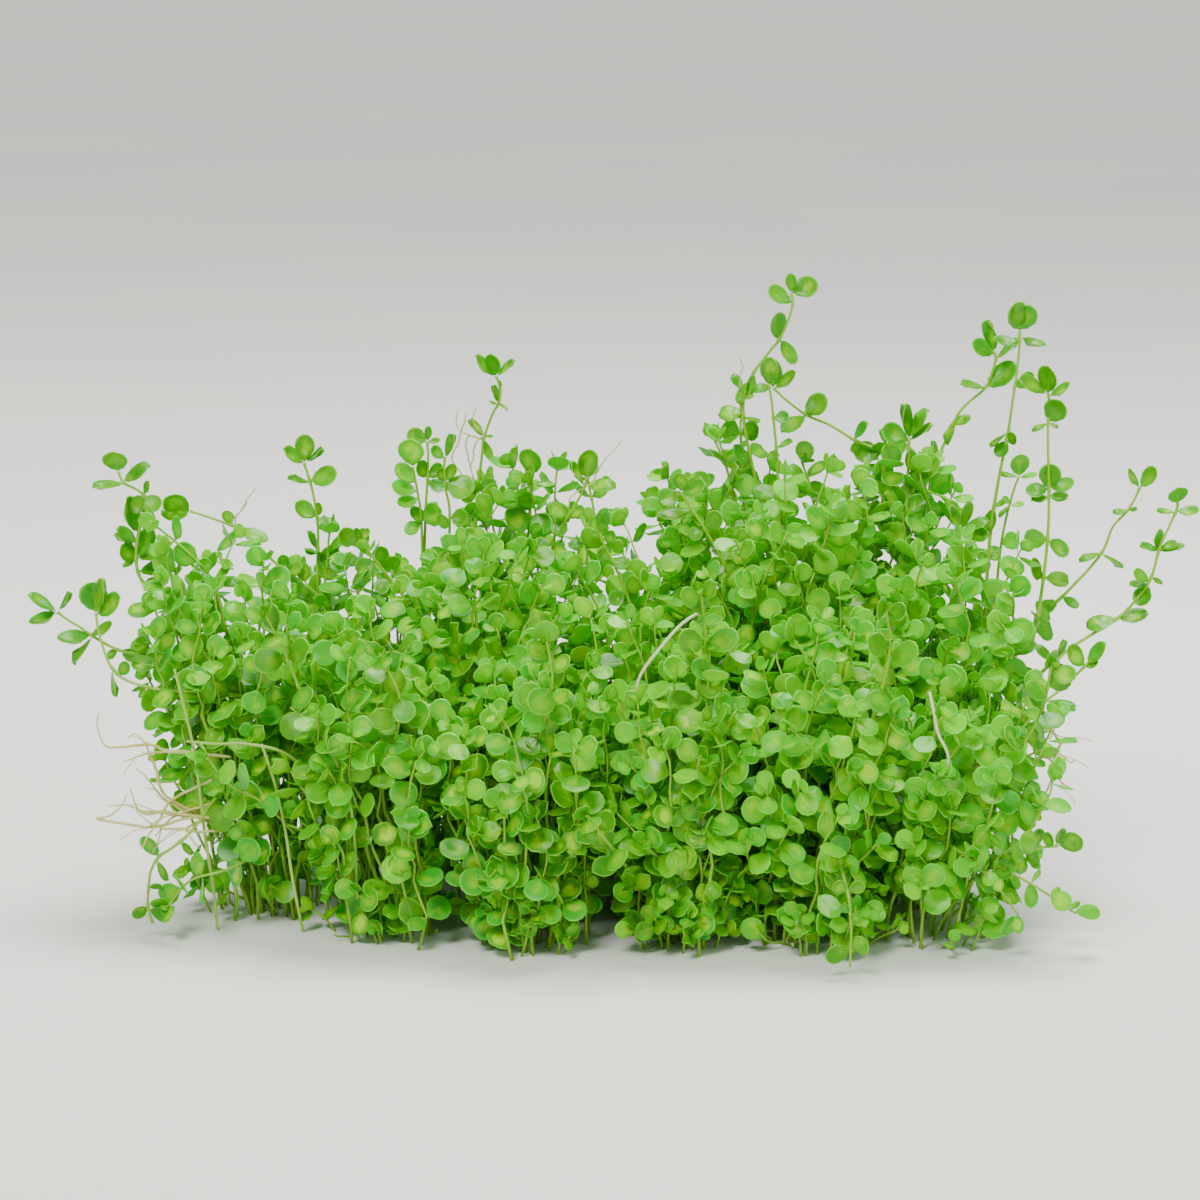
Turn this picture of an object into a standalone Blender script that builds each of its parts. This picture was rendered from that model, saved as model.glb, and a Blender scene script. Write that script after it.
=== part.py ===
"""Baby tears, an aquarium plant: a dense clump of thin stems with small round leaves in pairs.

The clump is cut off flat where it left the ground and stands on that cut. Its close growth is
modelled as tufts that stand side by side, each the body that its many stems and leaves fill.
The shoots that reach out of it are sprigs, each one stem with its own leaves grown on it.
Metres, +Z up. The origin is on the ground in the middle of the clump, and +X runs along it.
"""

import math

import bmesh
import bpy
from mathutils import Matrix, Vector, noise
from mathutils.bvhtree import BVHTree

MM = 0.001
PLANT = "baby_tears"

# The stems fan out: at the ground the clump is this share of its width at fan height.
FAN_SHARE = 0.83
FAN_HEIGHT = 100 * MM
FAN_MIDDLE = Vector((0, -8 * MM))

# Each tuft fills its share of the clump, up to the line half way to its neighbours.
TUFT_GAP = 0.7 * MM
TUFT_REACH = 25 * MM
TUFT_SIDES = 10
LUMP_SIZE = 9 * MM
LEAF_DEPTH = 0.1
LUMP_DEPTH = 0.2
LUMP_HEIGHT = 0.1
LEAFY_SHARE = 0.4
LEAF_RISE = 4.2 * MM
LEAF_DROOP = 1.2 * MM
# A tuft is taller toward the back of the clump, by this share of the way from its middle.
BACK_RISE = 0.4
# Height and reach, as shares of the tuft's own, from the middle of its cut foot to its top.
TUFT_PROFILE = [
    (0, 0), (0, 0.94), (0.34, 0.94), (0.6, 1), (0.8, 0.97), (0.92, 0.8), (0.985, 0.46), (1, 0),
]

STEM_WIDTH = 1.0 * MM
STEM_TIP_WIDTH = 0.7 * MM
NODE_HEIGHT = 0.8 * MM
BEND_STEP = 9 * MM
LEAF_LENGTH = 5.4 * MM
LEAF_WIDTH = 4.9 * MM
LEAF_THICK = 0.5 * MM
LEAF_WIDEST = 0.56
LEAF_END_SHARE = 0.5
# From the tip down: how far below the tip each pair of leaves grows, its size and its upward tilt.
LEAF_PAIRS = [
    (0.6 * MM, 0.62, 58), (4.6 * MM, 0.9, 34), (10.6 * MM, 1, 22), (18 * MM, 1.04, 14), (26.5 * MM, 1, 10),
    (36 * MM, 0.94, 6), (46 * MM, 0.88, 4),
]
BARE_FOOT = 3.4 * MM
FOOT_GAP = 0.4 * MM
CLEARANCE = 0.3 * MM

ROOT_WIDTH = 0.6 * MM
ROOT_TIP_WIDTH = 0.4 * MM
ROOT_STEP = 5 * MM

# Where each tuft stands at fan height, and how tall it is, in millimetres.
TUFTS = {
    "tuft_left_end": (-86, -4, 76),
    "tuft_left_back": (-56, 24, 72),
    "tuft_left_front": (-53, -26, 62),
    "tuft_middle_back": (-20, 32, 88),
    "tuft_middle": (-26, -2, 80),
    "tuft_middle_front": (-17, -37, 60),
    "tuft_dip": (6, 2, 70),
    "tuft_centre_front": (18, -34, 66),
    "tuft_right_back": (27, 33, 95),
    "tuft_right": (42, 0, 92),
    "tuft_right_front": (53, -37, 66),
    "tuft_right_rear": (68, 31, 92),
    "tuft_right_side": (80, -4, 80),
    "tuft_right_corner": (85, -34, 54),
}

# The route of each stem in millimetres, from a point in its tuft to its tip.
SPRIGS = {
    "sprig_left_far": [(-85.6, 5, 41), (-100.5, 5, 55.1), (-112.1, 5, 60), (-117.4, 5, 63.8), (-122, 5, 65.4)],
    "sprig_left_bent": [(-65, -14, 40), (-84, -16, 50.5), (-103.8, -14, 54.3), (-108, -14, 61.6), (-109.6, -14, 71)],
    "sprig_left_top": [(-86, 10, 44), (-96.8, 10, 65), (-101.5, 10, 77), (-100.6, 10, 89.7), (-107, 10, 98.7)],
    "sprig_left_arch": [(-57, 24, 55), (-64, 24, 68), (-72, 24, 75), (-81, 24, 81), (-95, 24, 86.5)],
    "sprig_left_skyline": [(-62.8, 32, 54), (-63.7, 32, 76), (-65.1, 32, 87), (-66.6, 32, 97.6)],
    "sprig_left_inner": [(-40.5, 20, 61), (-50.5, 20, 74.8), (-55.2, 20, 82)],
    "sprig_left_front": [(-60, -24, 40), (-66, -30, 60), (-71, -33, 72)],
    "sprig_left_low": [(-81, -16, 29), (-90, -26, 24), (-97, -30, 17), (-99, -32, 8)],
    "sprig_left_rear": [(-82, 16, 40), (-92, 30, 52), (-95, 38, 64)],
    "sprig_middle_a": [(-40.3, 38, 71), (-40.2, 38, 84), (-39.2, 38, 93), (-39.9, 38, 101.6)],
    "sprig_middle_b": [(-34.8, 18, 66), (-34.2, 18, 84), (-35, 18, 99)],
    "sprig_rooted": [(-29, 44, 70), (-28.5, 44, 88.8), (-26.6, 44, 98.7), (-23.6, 44, 107.7), (-24.5, 44, 116)],
    "sprig_middle_c": [(-16.8, 28, 71), (-15.8, 28, 85), (-15.1, 28, 99)],
    "sprig_leaning": [(-20, 6, 68), (-15, 10, 78), (-9, 12, 86), (-3.6, 12, 92), (-1.8, 12, 99)],
    "sprig_dip": [(9, 0, 55), (3, 1, 72), (0.4, 0, 86)],
    "sprig_right_edge": [(33.6, 4, 64), (26.9, 4, 78), (20, 4, 87), (15.8, 4, 94)],
    "sprig_right_second": [(33, 40, 80), (32.2, 40, 99), (32.1, 40, 111.7)],
    "sprig_tallest": [(37, 30, 76), (33.4, 30, 104), (34.5, 30, 115), (39.6, 30, 123.5), (43.8, 30, 136)],
    "sprig_right_arch": [(72.8, 44, 70), (67.5, 46, 89), (59.1, 46, 98), (47.5, 46, 104.2), (39.9, 46, 110)],
    "sprig_right_c": [(43, 16, 79), (39, 18, 100), (36.7, 18, 113)],
    "sprig_right_d": [(68, 30, 72), (69.8, 32, 92), (70.3, 34, 106)],
    "sprig_right_e": [(68, 38, 74), (77.5, 50, 94), (82.3, 51, 103), (89.6, 51, 111.8), (89.5, 51, 123)],
    "sprig_right_tall": [(85, 22, 55), (88, 26, 76), (90.1, 26, 93.5), (92.5, 26, 108), (94, 26, 129)],
    "sprig_right_tall_b": [(92, 4, 55), (99, 12, 80.8), (101, 14, 98), (102, 14, 118)],
    "sprig_right_f": [(80, 4, 60), (82, 6, 80), (79, 8, 96)],
    "sprig_far_right_a": [(90.5, 20, 46), (105.3, 22, 67), (113.4, 22, 76.8), (121.6, 22, 93)],
    "sprig_far_right_b": [(80, 0, 34), (95.6, 0, 50.8), (113.4, 0, 64.1), (122, 0, 77), (126.6, 0, 92.8)],
    "sprig_far_right_c": [(80, -12, 32), (93.8, -14, 44.5), (104, -14, 53), (115.1, -12, 64)],
    "sprig_right_low": [(80, -26, 16), (93, -38, 24), (105, -40, 27), (113, -40, 24)],
    "sprig_right_front": [(84, -36, 36), (92, -46, 52), (94, -50, 64)],
    "sprig_front_right": [(56, -42, 46), (60, -52, 66), (59, -56, 77)],
    "sprig_front_centre": [(20, -34, 48), (22, -45, 68), (21, -49, 79)],
    "sprig_front_middle": [(-14, -38, 42), (-10, -51, 60), (-11, -55, 70)],
    "sprig_front_left": [(-46, -28, 36), (-42, -42, 54), (-46, -47, 66)],
    "sprig_front_low": [(6, -40, 18), (3, -57, 26), (-3, -62, 35)],
    "sprig_front_foot": [(50, -42, 27), (51.5, -56, 20), (51, -62, 11), (50, -64, 5)],
    "sprig_back_left": [(-52, 34, 44), (-56, 47, 60), (-55, 52, 73)],
    "sprig_back_middle": [(-4, 44, 56), (-1, 56, 74), (-3, 60, 88)],
    "sprig_back_right": [(48, 44, 62), (50, 56, 80), (47, 60, 92)],
}

# The route of each bundle's main root, then those of the roots that fork from it, in millimetres.
ROOTS = {
    "roots_left": [
        [(-80, -20, 30), (-94, -26, 33), (-101, -27, 38), (-106, -28, 36), (-109, -28, 43)],
        [(-101, -27, 38), (-104, -30, 30), (-107, -31, 24), (-105, -31, 19)],
    ],
    "roots_right": [
        [(84, -20, 38), (98, -26, 39), (102, -27, 34), (104, -27, 28), (101, -26, 23)],
        [(98, -26, 39), (102, -29, 41), (105, -29, 36), (107, -30, 30)],
    ],
}


CORNERS = ((-1, -1), (1, -1), (1, 1), (-1, 1))
ROUTE_STEP = 0.5 * MM
MEETING_DISTANCE = 1.2 * MM
FOOT_REACH = 1.2 * MM
MERGE_DISTANCE = 0.01 * MM
ROLL_STEP = math.radians(37)

TUFT_COLOURS = ((0.10, 0.34, 0.02), (0.16, 0.44, 0.03))
SPRIG_COLOURS = ((0.18, 0.52, 0.05), (0.34, 0.66, 0.08))
ROOT_COLOUR = (0.80, 0.78, 0.55)
LEAF_ROUGHNESS = 0.45
ROOT_ROUGHNESS = 0.6


def tone(colours, number):
    """One of five even steps between two colours."""
    share = number % 5 / 4
    return [a + (b - a) * share for a, b in zip(*colours)]


def material(name, colour, roughness):
    made = bpy.data.materials.new(name)
    made.use_nodes = True
    shader = made.node_tree.nodes["Principled BSDF"]
    shader.inputs["Base Color"].default_value = (*colour, 1)
    shader.inputs["Roughness"].default_value = roughness
    shader.inputs["Metallic"].default_value = 0
    return made


def add_object(name, bm, surface, collection):
    """Turns a finished bmesh into an object of the plant."""
    bmesh.ops.recalc_face_normals(bm, faces=bm.faces)
    mesh = bpy.data.meshes.new(name)
    bm.to_mesh(mesh)
    mesh.materials.append(surface)
    made = bpy.data.objects.new(name, mesh)
    collection.objects.link(made)
    return made


def fan_share(height):
    """The clump's width at a height, as a share of its width at fan height."""
    return FAN_SHARE + (1 - FAN_SHARE) * height / FAN_HEIGHT


def fanned(spot, height):
    """Where a point of the clump that stands at fan height comes to lie at another height."""
    return FAN_MIDDLE + (spot - FAN_MIDDLE) * fan_share(height)


def gathered(spot, height):
    """Where a point of the clump at some height would stand at fan height."""
    return FAN_MIDDLE + (spot - FAN_MIDDLE) / fan_share(height)


def cell_reach(name, angle):
    """How far a tuft spreads in one direction, as far as the line half way to its neighbours."""
    middle = Vector(TUFTS[name][:2]) * MM
    reach = TUFT_REACH
    for other, (x, y, _) in TUFTS.items():
        if other == name:
            continue
        apart = Vector((x, y)) * MM - middle
        facing = math.cos(angle - math.atan2(apart.y, apart.x))
        if facing > 0.05:
            reach = min(reach, (apart.length / 2 - TUFT_GAP / 2 / FAN_SHARE) / facing)
    return reach


def tuft(name):
    """A ball drawn out into a body with a flat foot, inside its own share of the clump.

    Above its foot the tips of its outer leaves stand out of it as blunt points.
    """
    x, y, tall = (value * MM for value in TUFTS[name])
    middle = Vector((x, y))
    bm = bmesh.new()
    rings = len(TUFT_PROFILE) - 1
    bmesh.ops.create_uvsphere(bm, u_segments=TUFT_SIDES, v_segments=rings, radius=1)
    for vert in bm.verts:
        ring = round((1 - math.acos(max(-1, min(1, vert.co.z))) / math.pi) * rings)
        height_share, reach_share = TUFT_PROFILE[ring]
        angle = math.atan2(vert.co.y, vert.co.x)
        height = tall * height_share
        reach = cell_reach(name, angle) * reach_share
        spot = middle + reach * Vector((math.cos(angle), math.sin(angle)))
        lump = 0.5 + 0.5 * noise.noise(Vector((*spot, height)) / LUMP_SIZE)
        spot = spot.lerp(middle, LEAF_DEPTH + LUMP_DEPTH * lump)
        if height_share > 0.5:
            height += BACK_RISE * (spot.y - y) - tall * LUMP_HEIGHT * noise.noise(Vector((*spot, tall)) / LUMP_SIZE)
        vert.co = (*fanned(spot, height), height)
    bmesh.ops.recalc_face_normals(bm, faces=bm.faces)
    sides = [face for face in bm.faces if len(face.verts) == 4]
    leafy = [face for face in sides if face.calc_center_median().z > LEAFY_SHARE * tall]
    for vert in bmesh.ops.poke(bm, faces=leafy, offset=LEAF_RISE)["verts"]:
        vert.co.z -= LEAF_DROOP
        away = gathered(vert.co.xy, vert.co.z) - middle
        reach = cell_reach(name, math.atan2(away.y, away.x))
        if away.length > reach:
            vert.co.xy = fanned(middle + away.normalized() * reach, vert.co.z)
    bmesh.ops.triangulate(bm, faces=bm.faces)
    return bm


def smooth_route(points):
    """A smooth curve through a route's points, as close points in metres."""
    points = [Vector(point) * MM for point in points]
    ends = [2 * points[0] - points[1], *points, 2 * points[-1] - points[-2]]
    curve = []
    for before, start, end, after in zip(ends, ends[1:], ends[2:], ends[3:]):
        steps = max(2, round((end - start).length / ROUTE_STEP))
        for step in range(steps):
            t = step / steps
            curve.append(0.5 * (
                2 * start
                + (end - before) * t
                + (2 * before - 5 * start + 4 * end - after) * t ** 2
                + (3 * start - before - 3 * end + after) * t ** 3
            ))
    return curve + [points[-1]]


def outside(curve, clump):
    """The stretch of a curve that is outside the tufts, from where a stem meets them to its tip."""
    for i in range(len(curve) - 1, -1, -1):
        if clump.find_nearest(curve[i], MEETING_DISTANCE)[0]:
            return curve[i:]
    return curve


def length_of(curve):
    return sum((end - start).length for start, end in zip(curve, curve[1:]))


def stop_at(curve, distance):
    """The point and direction of a curve at a distance back from its tip."""
    left = distance
    for end, start in zip(curve[:0:-1], curve[-2::-1]):
        step = end - start
        if step.length >= left:
            return end - step.normalized() * left, step.normalized()
        left -= step.length
    return curve[0], (curve[1] - curve[0]).normalized()


def section(middle, across, up, width, height):
    """The corners of a flat section, from its lower left round to its upper left."""
    return [middle + across * width / 2 * a + up * height / 2 * b for a, b in CORNERS]


def seated(corners, direction, clump):
    """Moves the corners of a stem's foot along the stem, until they are just clear of its tuft."""
    found = []
    for corner in corners:
        hit, normal, _, _ = clump.ray_cast(corner + direction * FOOT_REACH, -direction, 2 * FOOT_REACH)
        if hit:
            corner = hit + direction * FOOT_GAP / max(0.35, abs(normal.dot(direction)))
        found.append(corner)
    return found


def stem_foot(bm, low, high):
    """A block between two sets of corners. Gives the ring of vertices round its top."""
    top = [None] * 4
    for vert in bmesh.ops.create_cube(bm, size=2)["verts"]:
        corner = CORNERS.index((round(vert.co.x), round(vert.co.y)))
        if vert.co.z > 0:
            top[corner] = vert
            vert.co = high[corner]
        else:
            vert.co = low[corner]
    return top


def extrude_to(bm, ring, corners):
    """Extrudes the face on a ring of vertices, and moves the new ring to the corners."""
    face = bm.faces.get(ring)
    tip = bmesh.ops.extrude_discrete_faces(bm, faces=[face])["faces"][0]
    new_ring = [min(tip.verts, key=lambda vert: (vert.co - old.co).length) for old in ring]
    for vert, corner in zip(new_ring, corners):
        vert.co = corner
    return new_ring


def grow_stem(bm, curve, nodes, widths, roll, clump):
    """A four-sided stem along a curve. Gives each node's rings below and above, and its direction."""
    length = length_of(curve)
    half = NODE_HEIGHT / 2
    distances = sorted({0, length, *(n + half for n in nodes), *(n - half for n in nodes)}, reverse=True)
    bends = [(a + b) / 2 for a, b in zip(distances, distances[1:]) if a - b > BEND_STEP]
    distances = sorted(distances + bends, reverse=True)
    places = [stop_at(curve, distance) for distance in distances]
    foot_direction = places[0][1]
    across = Matrix.Rotation(roll, 3, foot_direction) @ foot_direction.orthogonal().normalized()
    sections = []
    for distance, (middle, direction) in zip(distances, places):
        across = (across - direction * across.dot(direction)).normalized()
        width = widths[1] + (widths[0] - widths[1]) * distance / length
        sections.append(section(middle, across, direction.cross(across), width, width))
    ring = stem_foot(bm, seated(sections[0], foot_direction, clump), sections[1])
    rings = {distances[1]: ring}
    for distance, corners in zip(distances[2:], sections[2:]):
        ring = extrude_to(bm, ring, corners)
        rings[distance] = ring
    return {n: (rings[n + half], rings[n - half], stop_at(curve, n)[1]) for n in nodes}


def side_ring(low, high, side):
    """The ring round one side face of a node, from its lower left corner."""
    turn = (side + 1) % 4
    return [low[side], low[turn], high[turn], high[side]]


def outward_of(ring, low, high):
    middle = sum((vert.co for vert in ring), Vector()) / 4
    stem = sum((vert.co for vert in (*low, *high)), Vector()) / 8
    return middle, (middle - stem).normalized()


def leaf_sections(middle, across, outward, direction, size, tilt, spare):
    """The corners of a leaf at its widest and at its end, with some space to spare round it."""
    lean = outward * math.cos(tilt) + direction * math.sin(tilt)
    up = direction * math.cos(tilt) - outward * math.sin(tilt)
    length = LEAF_LENGTH * size
    width = LEAF_WIDTH * size
    widest = section(middle + lean * length * LEAF_WIDEST, across, up, width + 2 * spare, LEAF_THICK + 2 * spare)
    end = section(middle + lean * (length + spare), across, up, width * LEAF_END_SHARE + 2 * spare, 2 * spare)
    return widest, end


def has_room(sections, taken):
    """Whether a leaf of these sections stays clear of everything that is already there."""
    points = [corner for corners in sections for corner in corners]
    sides = [(i, (i + 1) % 4) for i in range(4)]
    faces = [(k + a, k + b, k + b + 4, k + a + 4) for k in (0, 4) for a, b in sides]
    shape = BVHTree.FromPolygons(points, faces + [(8, 9, 10, 11)])
    return not any(shape.overlap(other) for other in taken)


def grow_leaf(bm, low, high, side, direction, size, tilt, taken):
    """Draws a leaf out of one side of a node, where there is room for it."""
    ring = side_ring(low, high, side)
    middle, outward = outward_of(ring, low, high)
    across = (ring[1].co - ring[0].co).normalized()
    shape = (middle, across, outward, direction, size, tilt)
    base = section(middle + outward * CLEARANCE, across, direction, STEM_WIDTH, NODE_HEIGHT)
    if not has_room([base, *leaf_sections(*shape, CLEARANCE)], taken):
        return
    for corners in leaf_sections(*shape, 0):
        ring = extrude_to(bm, ring, corners)


def sprig(route, roll, clump, taken):
    """One stem with its pairs of leaves, each pair turned a quarter from the one below it."""
    bm = bmesh.new()
    curve = outside(smooth_route(route), clump)
    length = length_of(curve)
    pairs = [pair for pair in LEAF_PAIRS if pair[0] < length - BARE_FOOT]
    nodes = grow_stem(bm, curve, [pair[0] for pair in pairs], (STEM_WIDTH, STEM_TIP_WIDTH), roll, clump)
    for number, (distance, size, tilt) in enumerate(pairs):
        low, high, direction = nodes[distance]
        for side in (number % 2, number % 2 + 2):
            grow_leaf(bm, low, high, side, direction, size, math.radians(tilt), taken)
    bmesh.ops.remove_doubles(bm, verts=bm.verts, dist=MERGE_DISTANCE)
    return bm


def roots(routes, clump):
    """A main root, with the roots that fork from it drawn out of the sides of its nodes."""
    bm = bmesh.new()
    main_route, *fork_routes = routes
    curve = outside(smooth_route(main_route), clump)
    forks = {}
    for route in fork_routes:
        start = Vector(route[0]) * MM
        nearest = min(range(len(curve)), key=lambda i: (curve[i] - start).length)
        forks[length_of(curve[nearest:])] = smooth_route(route)
    widths = (ROOT_WIDTH, ROOT_TIP_WIDTH)
    nodes = grow_stem(bm, curve, list(forks), widths, 0, clump)
    for distance, fork in forks.items():
        low, high, _ = nodes[distance]
        away = (stop_at(fork, length_of(fork) - ROOT_STEP)[0] - fork[0]).normalized()
        sides = [side_ring(low, high, side) for side in range(4)]
        ring = max(sides, key=lambda ring: outward_of(ring, low, high)[1].dot(away))
        across = (ring[1].co - ring[0].co).normalized()
        steps = math.ceil(length_of(fork) / ROOT_STEP)
        for step in range(1, steps + 1):
            middle, direction = stop_at(fork, length_of(fork) * (1 - step / steps))
            across = (across - direction * across.dot(direction)).normalized()
            width = ROOT_TIP_WIDTH
            ring = extrude_to(bm, ring, section(middle, across, direction.cross(across), width, width))
    return bm


def main():
    for old in list(bpy.data.objects):
        bpy.data.objects.remove(old)
    plant = bpy.data.collections.new(PLANT)
    bpy.context.scene.collection.children.link(plant)

    points = []
    faces = []
    for number, name in enumerate(TUFTS):
        bm = tuft(name)
        add_object(name, bm, material(name, tone(TUFT_COLOURS, number), LEAF_ROUGHNESS), plant)
        faces += [[vert.index + len(points) for vert in face.verts] for face in bm.faces]
        points += [vert.co.copy() for vert in bm.verts]
    clump = BVHTree.FromPolygons(points, faces)

    taken = [clump]
    for number, (name, route) in enumerate(SPRIGS.items()):
        bm = sprig(route, ROLL_STEP * number, clump, taken)
        add_object(name, bm, material(name, tone(SPRIG_COLOURS, number), LEAF_ROUGHNESS), plant)
        taken.append(BVHTree.FromBMesh(bm))

    for name, routes in ROOTS.items():
        add_object(name, roots(routes, clump), material(name, ROOT_COLOUR, ROOT_ROUGHNESS), plant)


main()
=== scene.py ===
import math
import random

import bpy
import numpy as np
from mathutils import Matrix, Vector, noise
from mathutils.bvhtree import BVHTree


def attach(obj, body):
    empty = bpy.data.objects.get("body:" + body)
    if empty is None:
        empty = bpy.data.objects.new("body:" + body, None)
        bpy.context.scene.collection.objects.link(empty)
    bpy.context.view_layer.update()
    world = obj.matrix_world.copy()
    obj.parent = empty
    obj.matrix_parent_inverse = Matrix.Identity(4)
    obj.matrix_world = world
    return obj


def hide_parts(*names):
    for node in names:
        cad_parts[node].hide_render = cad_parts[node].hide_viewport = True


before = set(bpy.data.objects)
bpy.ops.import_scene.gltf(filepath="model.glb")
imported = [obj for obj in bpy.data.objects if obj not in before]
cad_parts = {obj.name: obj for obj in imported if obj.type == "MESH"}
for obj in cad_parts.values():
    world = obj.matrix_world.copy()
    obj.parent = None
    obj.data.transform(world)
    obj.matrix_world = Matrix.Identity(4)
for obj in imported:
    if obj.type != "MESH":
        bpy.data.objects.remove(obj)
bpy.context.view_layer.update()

mm = 0.001
zAxis = Vector((0, 0, 1))
noise.seed_set(7)        # without it the noise is another one each run
print("stage: frame loaded,", len(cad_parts), "nodes")


# camera, 0.22 mm to a pixel at the middle of the clump, looking down 10 degrees
cameraView = {
    "distance": 0.9,
    "down": math.radians(10),
    "aim": Vector((0, 0, 0.069)),
    "lens": 122.7,
}


def addCamera(v):
    back = Vector((0, -math.cos(v["down"]), math.sin(v["down"])))
    data = bpy.data.cameras.new("camera")
    data.lens = v["lens"]
    data.sensor_width = 36
    data.clip_start = 0.01
    data.clip_end = 50
    camera = bpy.data.objects.new("camera", data)
    camera.location = v["aim"] + back * v["distance"]
    camera.rotation_euler = (-back).to_track_quat("-Z", "Y").to_euler()
    bpy.context.scene.collection.objects.link(camera)
    bpy.context.scene.camera = camera


def deselectAll():
    if bpy.context.object and bpy.context.object.mode != "OBJECT":
        bpy.ops.object.mode_set(mode="OBJECT")
    bpy.ops.object.select_all(action="DESELECT")


def choose(obj):
    deselectAll()
    obj.select_set(True)
    bpy.context.view_layer.objects.active = obj


def pickVerts(obj, test):
    # selects in edit mode the vertices that pass a test on their place
    bpy.ops.object.mode_set(mode="OBJECT")
    mesh = obj.data
    mesh.polygons.foreach_set("select", [False] * len(mesh.polygons))
    mesh.edges.foreach_set("select", [False] * len(mesh.edges))
    mesh.vertices.foreach_set("select", [bool(test(v.co)) for v in mesh.vertices])
    bpy.ops.object.mode_set(mode="EDIT")
    bpy.ops.mesh.select_mode(type="VERT")


def moveVerts(obj, test, shift):
    pickVerts(obj, test)
    bpy.ops.transform.translate(value=shift)


def sizeVerts(obj, test, factor, center=(0, 0, 0)):
    pickVerts(obj, test)
    bpy.ops.transform.resize(value=factor, center_override=center)


def applyBend(obj, name, method, angle, axis):
    if abs(angle) < 0.01:
        return
    deform = obj.modifiers.new(name, "SIMPLE_DEFORM")
    deform.deform_method = method
    deform.deform_axis = axis
    deform.angle = angle
    bpy.ops.object.modifier_apply(modifier=name)


# leaf blades, one unit long from base to end along +Y, face up along +Z
bladeForm = {
    "rim": 12,        # points round the rim
    "rings": 4,
    "flat": 1.24,     # how far the ring next to the rim is pushed out, for a flat face
    "thick": 0.035,
    "kinds": {
        "round": {"width": 0.96, "base": 0.78, "cup": 0.07, "fold": 0.02,
                  "bend": -14, "twist": 0, "end": 0.0},
        "cupped": {"width": 0.92, "base": 0.7, "cup": 0.15, "fold": 0.05,
                   "bend": 12, "twist": 6, "end": 0.0},
        "oval": {"width": 0.74, "base": 0.66, "cup": 0.06, "fold": 0.05,
                 "bend": -24, "twist": -8, "end": 0.02},
        "folded": {"width": 0.84, "base": 0.7, "cup": 0.05, "fold": 0.14,
                   "bend": -10, "twist": 10, "end": 0.0},
        "drooping": {"width": 0.88, "base": 0.74, "cup": -0.07, "fold": 0.04,
                     "bend": -38, "twist": -5, "end": 0.0},
        "notched": {"width": 0.98, "base": 0.76, "cup": 0.08, "fold": 0.06,
                    "bend": -8, "twist": -12, "end": -0.06},
    },
}


def modelBlade(kind, k, form):
    # a ball pressed flat into a blade with a sharp rim, then shaped
    deselectAll()
    bpy.ops.mesh.primitive_uv_sphere_add(segments=form["rim"], ring_count=form["rings"], radius=0.5)
    blade = bpy.context.object
    blade.name = "blade_" + kind
    sizeVerts(blade, lambda c: 0.3 < c.xy.length < 0.45, (form["flat"], form["flat"], 1))
    sizeVerts(blade, lambda c: True, (k["width"], 1, form["thick"]))
    # the widest place lies past the middle, and the base narrows to a short stalk
    moveVerts(blade, lambda c: abs(c.y) < 0.36 and abs(c.x) > 0.05, (0, 0.03, 0))
    sizeVerts(blade, lambda c: c.y < -0.26, (k["base"] ** 0.4, 1, 1))
    sizeVerts(blade, lambda c: c.y < -0.42, (k["base"], 1, 1))
    moveVerts(blade, lambda c: c.y < -0.49, (0, -0.06, 0))
    if k["end"]:
        moveVerts(blade, lambda c: c.y > 0.47 and abs(c.x) < 0.1, (0, k["end"], 0))
    # rim up for a cup, and the middle line down for a fold
    moveVerts(blade, lambda c: Vector((c.x / k["width"], c.y, 0)).length > 0.42, (0, 0, k["cup"]))
    if k["fold"]:
        moveVerts(blade, lambda c: abs(c.x) < 0.05 and c.y > -0.45, (0, 0, -k["fold"]))
    bpy.ops.object.mode_set(mode="OBJECT")
    applyBend(blade, "bend", "BEND", math.radians(k["bend"]), "X")
    applyBend(blade, "twist", "TWIST", math.radians(k["twist"]), "Y")
    return blade


def bladeArrays(blade, k):
    # base point to the origin, and marks for the paint: how near the rim, how far along, which side
    mesh = blade.data
    co = np.array([v.co[:] for v in mesh.vertices])
    n = len(co)
    flat = np.array([Vector((v.co.x / k["width"], v.co.y)).length for v in mesh.vertices])
    rim = np.clip(flat / 0.5, 0, 1)
    up = np.array([v.normal.z for v in mesh.vertices])
    side = np.where(rim > 0.95, 0.5, np.where(up > 0, 0.0, 1.0))
    base = co[np.argmin(co[:, 1])].copy()
    uv = np.stack([(co[:, 0] / k["width"] + 0.5), co[:, 1] - base[1]], 1)
    co -= base
    sizes = [len(p.vertices) for p in mesh.polygons]
    loops = [i for p in mesh.polygons for i in p.vertices]
    return {"co": co, "uv": uv, "rim": rim, "side": side, "n": n,
            "sizes": np.array(sizes), "loops": np.array(loops)}


def makeBlades(form):
    made = {}
    for kind, k in form["kinds"].items():
        blade = modelBlade(kind, k, form)
        made[kind] = bladeArrays(blade, k)
        bpy.data.meshes.remove(blade.data)
    return made


# clear shoots have leaves with a rounder rim, and deep inside the clump they are plainer ones
blades = makeBlades(bladeForm)
kinds = bladeForm["kinds"]
fineForm = dict(bladeForm, rim=20, rings=6, flat=1.05, kinds={"fine_" + k: kinds[k] for k in kinds})
innerKinds = {"inner_" + k: kinds[k] for k in ("round", "oval", "cupped")}
innerForm = dict(bladeForm, rim=8, rings=2, kinds=innerKinds)
blades.update(makeBlades(fineForm))
blades.update(makeBlades(innerForm))
print("stage: leaf blades modelled,", len(blades))


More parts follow.
